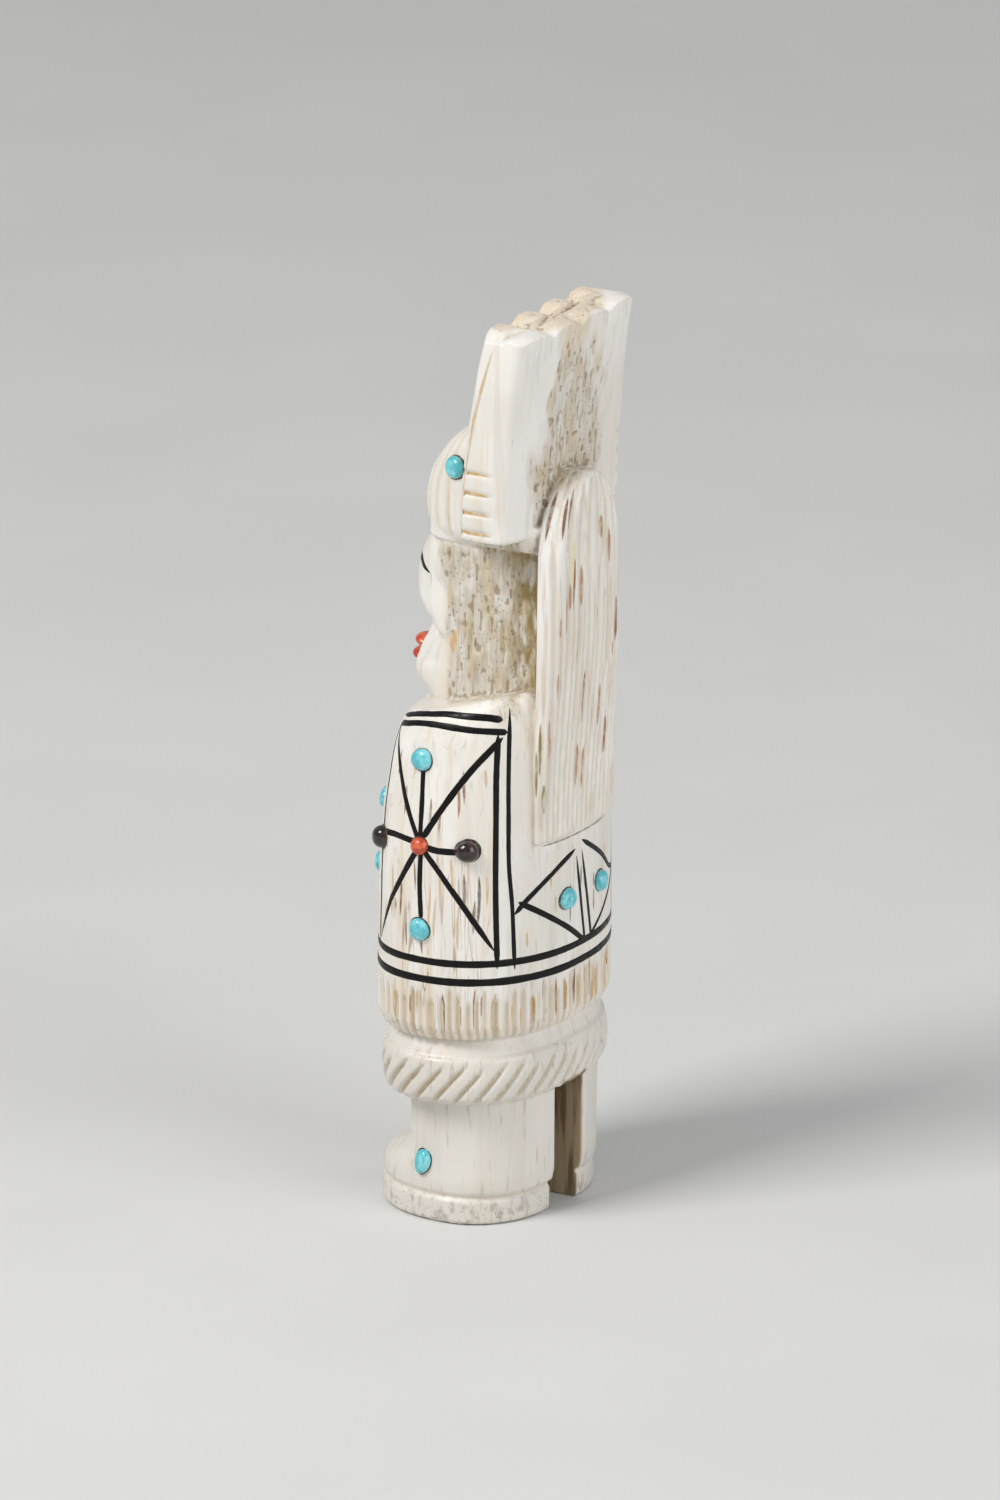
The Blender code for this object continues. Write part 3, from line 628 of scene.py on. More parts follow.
class Net:
    """Which points of a mesh are neighbours, for smoothing and for reading its hollows."""

    def __init__(self, faces, count):
        pairs = np.concatenate([faces[:, [k, (k + 1) % faces.shape[1]]]
                                for k in range(faces.shape[1])])
        pairs = np.unique(np.sort(pairs, axis=1), axis=0)
        self.ends = np.concatenate([pairs[:, 0], pairs[:, 1]])
        self.others = np.concatenate([pairs[:, 1], pairs[:, 0]])
        self.count = count
        self.degree = np.maximum(np.bincount(self.ends, minlength=count), 1)

    def mean(self, values):
        """The mean of each point's neighbours."""
        if values.ndim == 1:
            return np.bincount(self.ends, values[self.others], self.count) / self.degree
        return np.stack([self.mean(values[:, axis]) for axis in range(values.shape[1])], axis=-1)


def normals_of(points, faces):
    """Unit normals at the points."""
    across = points[faces[:, 2]] - points[faces[:, 0]]
    up = points[faces[:, -1]] - points[faces[:, 1]]
    flat = np.cross(across, up)
    total = np.stack([sum(np.bincount(faces[:, k], flat[:, axis], len(points))
                          for k in range(faces.shape[1])) for axis in range(3)], axis=-1)
    return total / np.maximum(np.linalg.norm(total, axis=1, keepdims=True), 1e-12)


def hairy(points):
    """How far each point belongs to the hair."""
    x, y, z = points.T
    across = np.abs(x - HAIR_MIDDLE_X)
    side = np.maximum(ease(7.3, 7.8, across), ease(11.0, 11.8, y)) * (1 - ease(8.9, 9.3, across))
    return ease(8.0, 8.8, y) * side * ease(49.0, 50.0, z) * (1 - ease(93.5, 96.0, z))


def spongy(points):
    """How far each point lies in the porous core that shows at the head and the headdress."""
    x, y, z = points.T
    edge = 0.13 * noise(points, (3.0, 3.0, 7.0), 5) + 0.08 * noise(points, (1.2, 1.2, 3.0), 6)
    half_width = CORE_HALF_WIDTH + 1.8 * ease(5.5, 9.0, y)
    inside = 1.0 - np.sqrt(((x + 0.2) / half_width) ** 2 + ((y - CORE_MIDDLE_Y) / CORE_REACH_Y) ** 2)
    bangs = ease(84.5, 86.5, z) * (1 - ease(0.8, 2.2, y))
    ledge = ease(86.0, 87.0, z) * (1 - ease(88.3, 89.3, z)) * ease(0.0, 2.0, y)
    face = (1 - ease(84.0, 86.0, z)) * (1 - ease(-3.0, -1.0, y)) * (1 - ease(5.6, 6.4, np.abs(x)))
    core = ease(-0.05, 0.07, inside + edge) * (1 - bangs) * (1 - face)
    high = ease(64.5, 66.5, z + 2.0 * edge)
    return np.maximum(core, 0.8 * ledge) * high * (1 - hairy(points))


def carve_details(points, faces):
    """Softens the melted skin and gives it waves, tool marks, pits and worn hollows."""
    net = Net(faces, len(points))
    points = points + SOFTENING * (net.mean(points) - points)
    outward = normals_of(points, faces)
    waves = 0.05 * noise(points, 6.0, 1) + 0.03 * noise(points, (2.2, 2.2, 6.0), 2)
    porous = spongy(points)
    z = points[:, 2]
    coarse = noise(points, (0.55, 0.55, 1.3), 3)
    larger = noise(points, (0.8, 0.8, 1.2), 4)
    near_hair = ease(88.0, 92.0, z) * (1 - ease(96.0, 101.0, z)) * ease(7.0, 8.5, points[:, 1])
    pits = 0.14 * ease(0.3, 0.65, coarse) + (0.08 + 0.2 * near_hair) * ease(0.35, 0.65, larger)
    pits *= 1 - 0.5 * ease(110.0, 113.0, z)
    rough = 0.04 * noise(points, (0.5, 0.5, 1.8), 7)
    return points + outward * (waves + porous * (rough - pits))[:, None]


def decimated(points, faces):
    """The mesh as triangles, brought under the limit."""
    ratio = min(1.0, SKIN_TRIANGLES / (2.0 * len(faces)))
    return through_modifier(points, faces.tolist(), "DECIMATE", {"ratio": ratio}, 3)


def new_piece(name, points, faces, surface, nodes):
    """A smooth-shaded object from points in millimetres, riding on the model in its nodes' place."""
    mesh = bpy.data.meshes.new(name)
    placed = (np.asarray(points) - np.array(SHIFT)) * MM
    mesh.from_pydata(placed.tolist(), [], [list(face) for face in faces])
    mesh.shade_smooth()
    mesh.materials.append(surface)
    piece = bpy.data.objects.new(name, mesh)
    bpy.context.scene.collection.objects.link(piece)
    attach(piece, "root")
    if nodes:
        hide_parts(*nodes)
    return piece


def make_carving(surface):
    """The whole antler carving, with numbers for its material at each point, and its search tree."""
    shells = Shells()
    for add in (add_boots, add_ruffle, add_body, add_head, add_bangs, add_hair, add_headdress):
        add(shells)
    points, faces = melted(shells)
    points = carve_details(points, faces)
    points, faces = decimated(points, faces)
    net = Net(faces, len(points))
    outward = normals_of(points, faces)
    # How far each point sits in a hollow of the skin; the material paints shade there from it
    hollow = np.einsum("ij,ij->i", net.mean(points) - points, outward)
    for _ in range(2):
        hollow = 0.5 * hollow + 0.5 * net.mean(hollow)
    x, y, z = points.T
    on_hair = hairy(points)
    streaked = ease(24.0, 26.5, z) * (1 - ease(63.0, 66.0, z)) * (1 - on_hair)
    streaked *= (1 - 0.55 * ease(44.0, 56.0, z)) * (1 - 0.6 * ease(3.0, 8.0, y))
    half_cleft = CLEFT_WIDTH / 2
    layers = {
        "hollow": np.clip(hollow / HOLLOW_FULL, -1.0, 1.0),
        "stain": stains(shells, points),
        # Olive over the back of the head, strongest near the hair: partly the core's own colour,
        # partly painted shade in the corner against the hair
        "olive": ((0.25 * ease(-6.0, 0.0, y) + 0.75 * ease(4.5, 8.5, y))
                  * ease(66.0, 71.0, z) * (1 - ease(85.5, 88.0, z))),
        "pitted": ease(89.0, 93.0, z) * (1 - ease(95.0, 99.0, z)) * ease(7.0, 8.5, y),
        "tips": ease(109.5, 112.5, z),
        "sole": 1 - ease(2.0, 4.0, z),
        "toe": ease(11.4, 13.2, -y) * (1 - ease(4.5, 7.0, z)) * ease(2.0, 3.5, z),
        "low": 1 - ease(22.0, 26.0, z),
        "porous": spongy(points),
        "hair": on_hair,
        "cloth": streaked,
        # Painted shade in the cleft between the boots
        "cleft": (1 - ease(half_cleft - 0.1, half_cleft + 0.5, np.abs(x))) * (1 - ease(16.5, 18, z)),
    }
    piece = new_piece("carving", points, faces, surface, ["antler_carving"])
    for name, values in layers.items():
        layer = piece.data.attributes.new(name, "FLOAT", "POINT")
        layer.data.foreach_set("value", np.asarray(values, dtype=np.float32))
    return BVHTree.FromPolygons([Vector(p) for p in points], [tuple(f) for f in faces])


# Inked lines on the figure's left: points as (angle about the manta's middle, height), width and
# the share of the line over which each end tapers
Stroke = namedtuple("Stroke", "points width start end")
PANEL_STROKES = [
    Stroke([(-27, 64), (-15, 65), (2, 65.8), (14, 66.2), (30, 66.2), (38.5, 65.9)], 1.0, 0.12, 0.03),
    Stroke([(-25.5, 63.1), (-12, 64.1), (7, 64.8), (22, 64.7), (40.5, 64.4)], 0.87, 0.05, 0.02),
    Stroke([(42, 67.2), (41, 62), (40.4, 55), (40.5, 48), (42, 42), (43.2, 34.1)], 0.62, 0.1, 0.05),
    Stroke([(36, 64.2), (34.9, 58), (34.6, 50), (34.5, 43.5), (35.2, 34.5)], 0.8, 0.04, 0.06),
    Stroke([(38.2, 63.8), (23, 59.5), (10.5, 54.4), (3.2, 50.8)], 0.87, 0.07, 0.05),
    Stroke([(1.6, 59.5), (2.4, 54), (2.3, 50.4)], 0.7, 0.02, 0.02),
    Stroke([(-23.6, 63.2), (-12.7, 59.1), (-5.2, 54.8), (1.4, 50.6)], 0.74, 0.35, 0.02),
    Stroke([(-24.4, 63.2), (-22.5, 57), (-21.8, 51), (-22.8, 43), (-24, 35.5)], 0.56, 0.1, 0.1),
    Stroke([(1.2, 50.3), (-10.3, 50.6), (-20.5, 50.2)], 0.85, 0.02, 0.1),
    Stroke([(3, 50), (11, 49.6), (20, 49.6)], 0.87, 0.02, 0.05),
    Stroke([(1.4, 49.6), (-5.2, 46.1), (-14.4, 41.2), (-21.8, 36.5)], 0.78, 0.02, 0.45),
    Stroke([(2.8, 49.2), (2.5, 45), (3.1, 40.6)], 0.72, 0.02, 0.05),
    Stroke([(3, 49.8), (11, 46.9), (21.7, 42.4), (33.9, 36.8)], 0.83, 0.02, 0.2),
]

# Lines of the back panel, in the same way
BACK_STROKES = [
    Stroke([(43, 41.2), (50.3, 43), (70, 46), (83, 47.3)], 0.78, 0.08, 0.12),
    Stroke([(45, 42.7), (64, 39.6), (77.5, 37.4), (91.6, 34.9)], 0.8, 0.05, 0.02),
    Stroke([(84, 46.3), (88.5, 40.2), (92.2, 35.1)], 0.57, 0.25, 0.02),
    Stroke([(89.2, 46.8), (94.5, 40.6), (98.9, 35.1)], 0.57, 0.25, 0.02),
    Stroke([(89.3, 48.1), (111.5, 44.7), (126.5, 41.8), (136.5, 41.2)], 0.71, 0.1, 0.08),
    Stroke([(97.5, 35), (115, 37.6), (128, 40.1), (135, 42.4)], 0.6, 0.1, 0.05),
]

# The two hem lines: height at the front, height at the back and width
HEMS = [(35.4, 34.9, 0.98), (33.0, 32.6, 1.02)]
EYE_STROKE = Stroke([(-78, 82), (-60, 82.6), (-44, 82.4), (-33.5, 81.7), (-23, 81.2)], 0.95, 0.3, 0.35)

PALE_TINT = colour(232, 227, 218)
TINTS = {
    "dark": colour(74, 56, 44),
    "brown": colour(126, 92, 62),
    "red": colour(158, 106, 74),
    "rust": colour(182, 140, 108),
    "tan": colour(206, 178, 138),
    "honey": colour(202, 164, 104),
    "yellow": colour(228, 214, 150),
    "olive": colour(140, 124, 64),
    "grey": colour(132, 124, 120),
    "shade": colour(150, 142, 134),
}

# Areas of stained grain. Each is (first and last place across, lowest and highest point, number of
# marks, shortest and longest mark, narrowest and widest mark, tints). The place across is an angle
# on the manta and a number of strands, counted from the left edge, on the hair.
Area = namedtuple("Area", "across heights count length width tones")
BODY_AREAS = [
    Area((-18, 33), (36, 49), 16, (3, 8), (0.35, 0.6), ["brown", "tan", "tan", "dark"]),
    Area((-15, 32), (51, 63), 8, (2.5, 5), (0.4, 0.55), ["tan", "tan", "red", "brown"]),
    Area((45, 115), (36, 47), 6, (2, 4), (0.3, 0.5), ["tan", "grey", "red"]),
    Area((-22, 120), (25.5, 32.5), 26, (2.5, 6), (0.34, 0.65), ["tan", "brown", "red", "honey"]),
]
HAIR_AREAS = [
    Area((0.8, 7.2), (54, 92), 20, (2.5, 8), (0.5, 0.9), ["red", "rust"]),
    Area((0.0, 0.6), (51, 66), 3, (4, 8), (0.6, 0.85), ["olive"]),
    Area((0.0, 2.3), (88, 95), 3, (4, 6), (0.5, 0.75), ["brown"]),
    Area((1.8, 2.4), (82, 89), 1, (5, 6), (0.7, 0.85), ["yellow"]),
]
MARK_SEED = 7


def scattered(areas):
    """Marks spread evenly but not regularly over each area: place, low, high, width and tint."""
    draw = np.random.default_rng(MARK_SEED)
    marks = []
    for area in areas:
        rows = draw.permutation(area.count)
        for column in range(area.count):
            place = area.across[0] + (area.across[1] - area.across[0]) * (
                column + draw.uniform(0.1, 0.9)) / area.count
            length = draw.uniform(*area.length)
            room = area.heights[1] - area.heights[0] - length
            low = area.heights[0] + room * (rows[column] + draw.uniform(0.0, 1.0)) / area.count
            width = draw.uniform(*area.width)
            tone = area.tones[int(draw.integers(len(area.tones)))]
            marks.append((place, low, low + length, width, tone))
    return marks


def on_form(form, angle, height):
    """The point of a form at an angle in degrees and a height."""
    share = (height - form.bottom) / (form.top - form.bottom)
    turn = math.radians(angle)
    for _ in range(12):
        share = min(max(share, 0.0), 0.99)
        spot = form.surface(np.float64(share), np.float64(turn))
        share += 0.8 * (height - spot[2]) / (form.top - form.bottom)
    return Vector(spot)


def on_strand(number, height):
    """The point of the hair at a height and a number of strands round from its left edge."""
    turns = np.linspace(0.0, np.pi, 200)
    ring = HAIR.surface(np.full(200, (height - HAIR.bottom) / (HAIR.top - HAIR.bottom)), turns)
    along = along_rows(ring[None])[0]
    at = number / HAIR_STRANDS * along[-1]
    return Vector([np.interp(at, along, ring[:, axis]) for axis in range(3)])


def along_curve(knots, step):
    """Evenly spaced points on a smooth curve through the knots."""
    knots = np.array(knots)
    chords = along_rows(knots[None])[0]
    count = max(6, int(chords[-1] / step))
    at = np.linspace(0.0, chords[-1], count)
    return np.stack([smooth_line(at, chords, knots[:, axis]) for axis in range(3)], axis=-1)


INK_PROFILE = [(-1.0, -0.12), (-0.93, 0.015), (-0.5, 0.035), (0.0, 0.04), (0.5, 0.035),
               (0.93, 0.015), (1.0, -0.12)]
MARK_PROFILE = [(-1.0, -0.05), (-0.8, 0.012), (-0.35, 0.02), (0.35, 0.02), (0.8, 0.012), (1.0, -0.05)]


class Ribbons:
    """Thin lines laid on the carving's skin, gathered into one mesh, with a tint at each point."""

    def __init__(self, tree, profile, uneven):
        self.tree, self.profile, self.uneven = tree, profile, uneven
        self.points, self.faces, self.tints = [], [], []
        self.count = 0

    def lay(self, knots, width, start=0.0, end=0.0, closed=False, tint=(0.0, 0.0, 0.0)):
        """A line along the knots; start and end are the shares of it over which it tapers."""
        self.count += 1
        line = along_curve(knots, LINE_STEP)
        last = len(line) - 1
        share = np.linspace(0.0, 1.0, last + 1)
        swell = 1.0 + self.uneven * (noise(line, 2.3, 20 + self.count)
                                     + 0.6 * noise(line, 0.8, 60 + self.count))
        taper = np.ones(last + 1)
        if not closed:
            taper = np.clip(share / max(start, 0.01), 0.0, 1.0) ** 0.6
            taper = np.minimum(taper, np.clip((1 - share) / max(end, 0.01), 0.0, 1.0) ** 0.6)
            taper = np.clip(taper, 0.12, 1.0)
        half = 0.5 * width * swell * taper
        base, wide = len(self.points), len(self.profile)
        for index in range(last + 1):
            before, after = line[max(index - 1, 0)], line[min(index + 1, last)]
            if closed:
                before, after = line[(index - 1) % last], line[(index + 1) % last]
            spot, up, _, _ = self.tree.find_nearest(Vector(line[index]))
            side = Vector(after - before).cross(up).normalized()
            for across, lift in self.profile:
                edge = self.tree.find_nearest(spot + side * float(across * half[index]))[0]
                self.points.append(edge + up * lift)
                pale = max(ease(0.5, 1.05, abs(across)), 1 - ease(0.1, 0.5, taper[index]))
                self.tints.append([t + (s - t) * pale for t, s in zip(tint, PALE_TINT)])
        for index in range(last):
            for k in range(wide - 1):
                a = base + index * wide + k
                self.faces.append((a, a + wide, a + wide + 1, a + 1))
        if not closed:
            self.faces.append(tuple(base + k for k in range(wide)))
            self.faces.append(tuple(base + last * wide + k for k in reversed(range(wide))))

    def piece(self, name, surface, slot):
        made = new_piece(name, self.points, self.faces, surface, [])
        layer = made.data.attributes.new("tint", "FLOAT_COLOR", "POINT")
        tints = np.concatenate([np.array(self.tints), np.ones((len(self.tints), 1))], axis=1)
        layer.data.foreach_set("color", tints.astype(np.float32).ravel())
        return made


def laid_out(form, points, side):
    """The places of (angle, height) pairs on a form; side is 1, or -1 for its mirror image."""
    places = [on_form(form, angle, height) for angle, height in points]
    for spot in places:
        spot.x *= side
    return places


def make_ink(tree, surface):
    """Every inked line of the manta and the eyes, as one piece."""
    ribbons = Ribbons(tree, INK_PROFILE, 0.08)
    for side in (1, -1):
        for stroke in PANEL_STROKES:
            ribbons.lay(laid_out(BODY, stroke.points, side), stroke.width, stroke.start, stroke.end)
        ribbons.lay(laid_out(HEAD, EYE_STROKE.points, side), EYE_STROKE.width, EYE_STROKE.start,
                    EYE_STROKE.end)
    for stroke in BACK_STROKES:
        ribbons.lay(laid_out(BODY, stroke.points, 1), stroke.width, stroke.start, stroke.end)
    for front_height, back_height, width in HEMS:
        knots = []
        for angle in np.linspace(-90.0, 270.0, 61):
            rear = 0.5 + 0.5 * math.sin(math.radians(angle))
            height = front_height + (back_height - front_height) * rear ** 3
            knots.append(on_form(BODY, angle, height))
        ribbons.lay(knots, width, closed=True)
    return ribbons.piece("inlay_lines", surface, "jet")


def make_marks(tree, surface):
    """The stained grain, open pores and carved cuts that show as coloured lines, and a painted shadow
    line under the hair's bottom edge, as one piece.
    """
    ribbons = Ribbons(tree, MARK_PROFILE, 0.2)
    for side in (1, -1):
        for angle, low, high, width, tone in scattered(BODY_AREAS):
            knots = laid_out(BODY, [(angle + 0.4 * math.sin(0.6 * height), height)
                                    for height in np.linspace(high, low, 5)], side)
            ribbons.lay(knots, width, 0.35, 0.35, tint=TINTS[tone])
    for strand, low, high, width, tone in scattered(HAIR_AREAS):
        knots = [on_strand(strand, height) for height in np.linspace(high, low, 6)]
        ribbons.lay(knots, width, 0.3, 0.3, tint=TINTS[tone])
    # Painted shadow: a grey line along the crease under the hair's bottom edge
    under_hair_shadow = [(angle, HAIR_BOTTOM - 0.6) for angle in range(57, 123, 6)]
    ribbons.lay(laid_out(BODY, under_hair_shadow, 1), 0.35, 0.1, 0.1, tint=TINTS["shade"])
    ribbons.lay(laid_out(HEAD, [(8, 75.0), (6, 71.6)], 1), 1.7, 0.5, 0.5, tint=TINTS["honey"])
    ribbons.lay(laid_out(HEAD, [(29.5, 74.4), (29, 72.8)], 1), 0.5, 0.5, 0.5, tint=TINTS["brown"])
    for side, reach in ((1, 0.64), (-1, 0.95)):
        for index in range(NOTCHES):
            knots = [(side * (HEADDRESS_HALF_WIDTH - 0.6),
                      HEADDRESS_FRONT_Y + HEADDRESS_THICKNESS * share,
                      notch_height(index)) for share in (0.07, 0.3, reach - 0.2, reach)]
            ribbons.lay(knots, 0.8, 0.03, 0.5, tint=TINTS["honey"])
        knots = [(side * HEADDRESS_HALF_WIDTH * (1 - 0.05 * share), incised_line(share),
                  HEADDRESS_BOTTOM + share * (TOTAL_HEIGHT - HEADDRESS_BOTTOM))
                 for share in np.linspace(0.03, 0.93, 12)]
        ribbons.lay(knots, 0.55, 0.05, 0.2, tint=TINTS["tan"])
    return ribbons.piece("grain_and_shadow_marks", surface, "antler")


def stone_list():
    """Every stone: its name, place, half width, half height, rise and kind."""
    stones = []

    def add(name, place, radius, rise, kind, tall=1.0):
        stones.append((name, place, radius, radius * tall, rise, kind))

    for name, share, angle, radius, rise, kind in (
            ("star_center", STAR_MIDDLE, 2.0, CORAL_RADIUS, 1.0, "coral"),
            ("star_top", STAR_MIDDLE + STAR_REACH, 0.5, TURQUOISE_RADIUS, 1.0, "turquoise"),
            ("star_bottom", STAR_MIDDLE - STAR_REACH, 2.5, TURQUOISE_RADIUS, 1.0, "turquoise"),
            ("star_front", STAR_MIDDLE - 0.005, -22.0, JET_RADIUS, 1.5, "jet"),
            ("star_back", STAR_MIDDLE - 0.01, 22.6, JET_RADIUS, 1.5, "jet"),
            ("front_dot_upper", 0.678, -47.0, TURQUOISE_RADIUS, 1.0, "turquoise"),
            ("front_dot_lower", 0.468, -46.0, TURQUOISE_RADIUS, 1.0, "turquoise")):
        add(name + "_left", BODY.seat(share, math.radians(angle)), radius, rise, kind)
        add(name + "_right", BODY.seat(share, math.radians(180 - angle)), radius, rise, kind)
    for name, angle, share in (("back_dot_left", 75.5, 0.395), ("back_dot_right", 109.0, 0.395)):
        add(name, BODY.seat(share, math.radians(angle)), TURQUOISE_RADIUS, 1.0, "turquoise")
    for name, angle in (("hair_stone_left", -9.0), ("hair_stone_right", 189.0)):
        add(name, BANGS.seat(0.7, math.radians(angle)), TURQUOISE_RADIUS, 0.9, "turquoise")
    left = BOOT.seat(0.43, math.radians(-9.5))
    mirror = Matrix.Diagonal((-1.0, 1.0, 1.0, 1.0))
    right = Matrix.Translation((0.0, RIGHT_BOOT_SETBACK, 0.0)) @ mirror @ left @ mirror
    for name, seat in (("foot_stone_left", left), ("foot_stone_right", right)):
        add(name, seat, TURQUOISE_RADIUS * FOOT_STONE_SCALE, 0.9, "turquoise", FOOT_STONE_TALL)
    mouth = HEAD.seat(0.252, math.radians(-90))
    for name, upward in (("lip_upper", 1), ("lip_lower", -1)):
        shift = Matrix.Translation((0.0, upward * (LIP_HALF_HEIGHT + LIP_GAP / 2), 0.0))
        add(name, mouth @ shift, LIP_HALF_WIDTH, LIP_RISE, "coral", LIP_HALF_HEIGHT / LIP_HALF_WIDTH)
    return stones


def ring_faces(start, rows, around):
    """Quads between rings of points, where each ring has the same number of points."""
    return [(start + r * around + k, start + r * around + (k + 1) % around,
             start + (r + 1) * around + (k + 1) % around, start + (r + 1) * around + k)
            for r in range(rows - 1) for k in range(around)]


def make_stone(index, stone, surfaces, rims):
    """One polished stone with a slightly uneven outline, and a dark rim of glue round its foot."""
    name, place, half_width, half_height, rise, kind = stone
    around, steps = 48, 14
    turns = 2 * np.pi * np.arange(around) / around
    wobble = 1 + 0.03 * np.sin(2 * turns + index) + 0.02 * np.sin(3 * turns + 2.1 * index)
    if name.startswith("foot"):
        wobble = wobble + 0.22 * np.clip(np.cos(turns + 1.95), 0.0, 1.0) ** 6
    squareness = {"turquoise": 2.6, "coral": 2.1, "jet": 2.2}[kind]

    def ring(spread, lift):
        """The outline spread by a factor, or by one factor for each point, at a lift."""
        return [place @ Vector((half_width * math.cos(t) * w, half_height * math.sin(t) * w, lift))
                for t, w in zip(turns, wobble * spread)]

    points = ring(1.0, -STONE_SINK) + ring(1.0, -0.4 * STONE_SINK)
    for step in range(steps):
        part = step / steps
        points += ring((1 - part ** squareness) ** (1 / squareness), 0.02 + (rise - 0.02) * part)
    rows = steps + 2
    faces = ring_faces(0, rows, around)
    points.append(place @ Vector((0.0, 0.0, rise)))
    top = (rows - 1) * around
    faces += [(top + k, top + (k + 1) % around, len(points) - 1) for k in range(around)]
    faces.append(tuple(reversed(range(around))))
    if not name.startswith("lip"):
        rims[1].extend(face[::-1] for face in ring_faces(len(rims[0]), len(GLUE_PROFILE), around))
        for spread, lift in GLUE_PROFILE:
            uneven = 1 + (spread - 1) * 0.5 * np.sin(turns + index * 1.7)
            rims[0].extend(ring(spread * uneven, lift))
    new_piece(name + "_stone", points, faces, surfaces[kind], [name])


class Nodes:
    """A short way to write a material's nodes; an input may be a number, a colour or a link."""

    def __init__(self, name):
        self.material = bpy.data.materials.new(name)
        self.material.use_nodes = True
        self.tree = self.material.node_tree
        self.shader = self.tree.nodes["Principled BSDF"]
        coordinates = self.tree.nodes.new("ShaderNodeTexCoord").outputs["Object"]
        self.place = self.scaled(coordinates, (1 / MM,) * 3)

    def put(self, socket, value):
        if isinstance(value, bpy.types.NodeSocket):
            self.tree.links.new(value, socket)
        elif isinstance(value, tuple) and len(value) == 3 and socket.type == "RGBA":
            socket.default_value = (*value, 1.0)
        else:
            socket.default_value = value

    def node(self, kind, inputs, **settings):
        """The outputs of a new node, with its settings made and its inputs filled in."""
        made = self.tree.nodes.new("ShaderNode" + kind)
        for name, value in settings.items():
            setattr(made, name, value)
        for key, value in inputs.items():
            self.put(made.inputs[key], value)
        return made.outputs

    def scaled(self, vector, scale, shift=(0.0, 0.0, 0.0)):
        return self.node("Mapping", {"Vector": vector, "Scale": scale, "Location": shift})["Vector"]

    def noise(self, scale, detail=2.0, stretch=(1.0, 1.0, 1.0), shift=0.0, warp=0.0):
        place = self.scaled(self.place, stretch, (shift,) * 3)
        return self.node("TexNoise", {"Vector": place, "Scale": scale, "Detail": detail,
                                      "Roughness": 0.5, "Distortion": warp})["Fac"]

    def cells(self, scale, stretch):
        place = self.scaled(self.place, stretch)
        return self.node("TexVoronoi", {"Vector": place, "Scale": scale})["Distance"]

    def layer(self, name, output="Fac"):
        """What the mesh holds at each point under a name."""
        return self.node("Attribute", {}, attribute_name=name)[output]

    def math(self, kind, first, second=0.0):
        return self.node("Math", {0: first, 1: second}, operation=kind)[0]

    def times(self, first, second):
        return self.math("MULTIPLY", first, second)

    def band(self, value, low, high, to_low=0.0, to_high=1.0):
        """The value spread smoothly from one range to another and held inside it."""
        return self.node("MapRange", {"Value": value, "From Min": low, "From Max": high,
                                      "To Min": to_low, "To Max": to_high},
                         interpolation_type="SMOOTHSTEP")["Result"]

    def mix(self, share, first, second):
        return self.node("Mix", {"Factor": share, 6: first, 7: second}, data_type="RGBA")[2]

    def bump(self, height, strength, distance, before=None):
        inputs = {"Strength": strength, "Distance": distance * MM, "Height": height}
        if before is not None:
            inputs["Normal"] = before
        return self.node("Bump", inputs)["Normal"]

    def finish(self, colour, roughness, normal, **constants):
        self.put(self.shader.inputs["Base Color"], colour)
        self.put(self.shader.inputs["Roughness"], roughness)
        self.put(self.shader.inputs["Normal"], normal)
        for name, value in constants.items():
            self.shader.inputs[name.replace("_", " ")].default_value = value
        return self.material


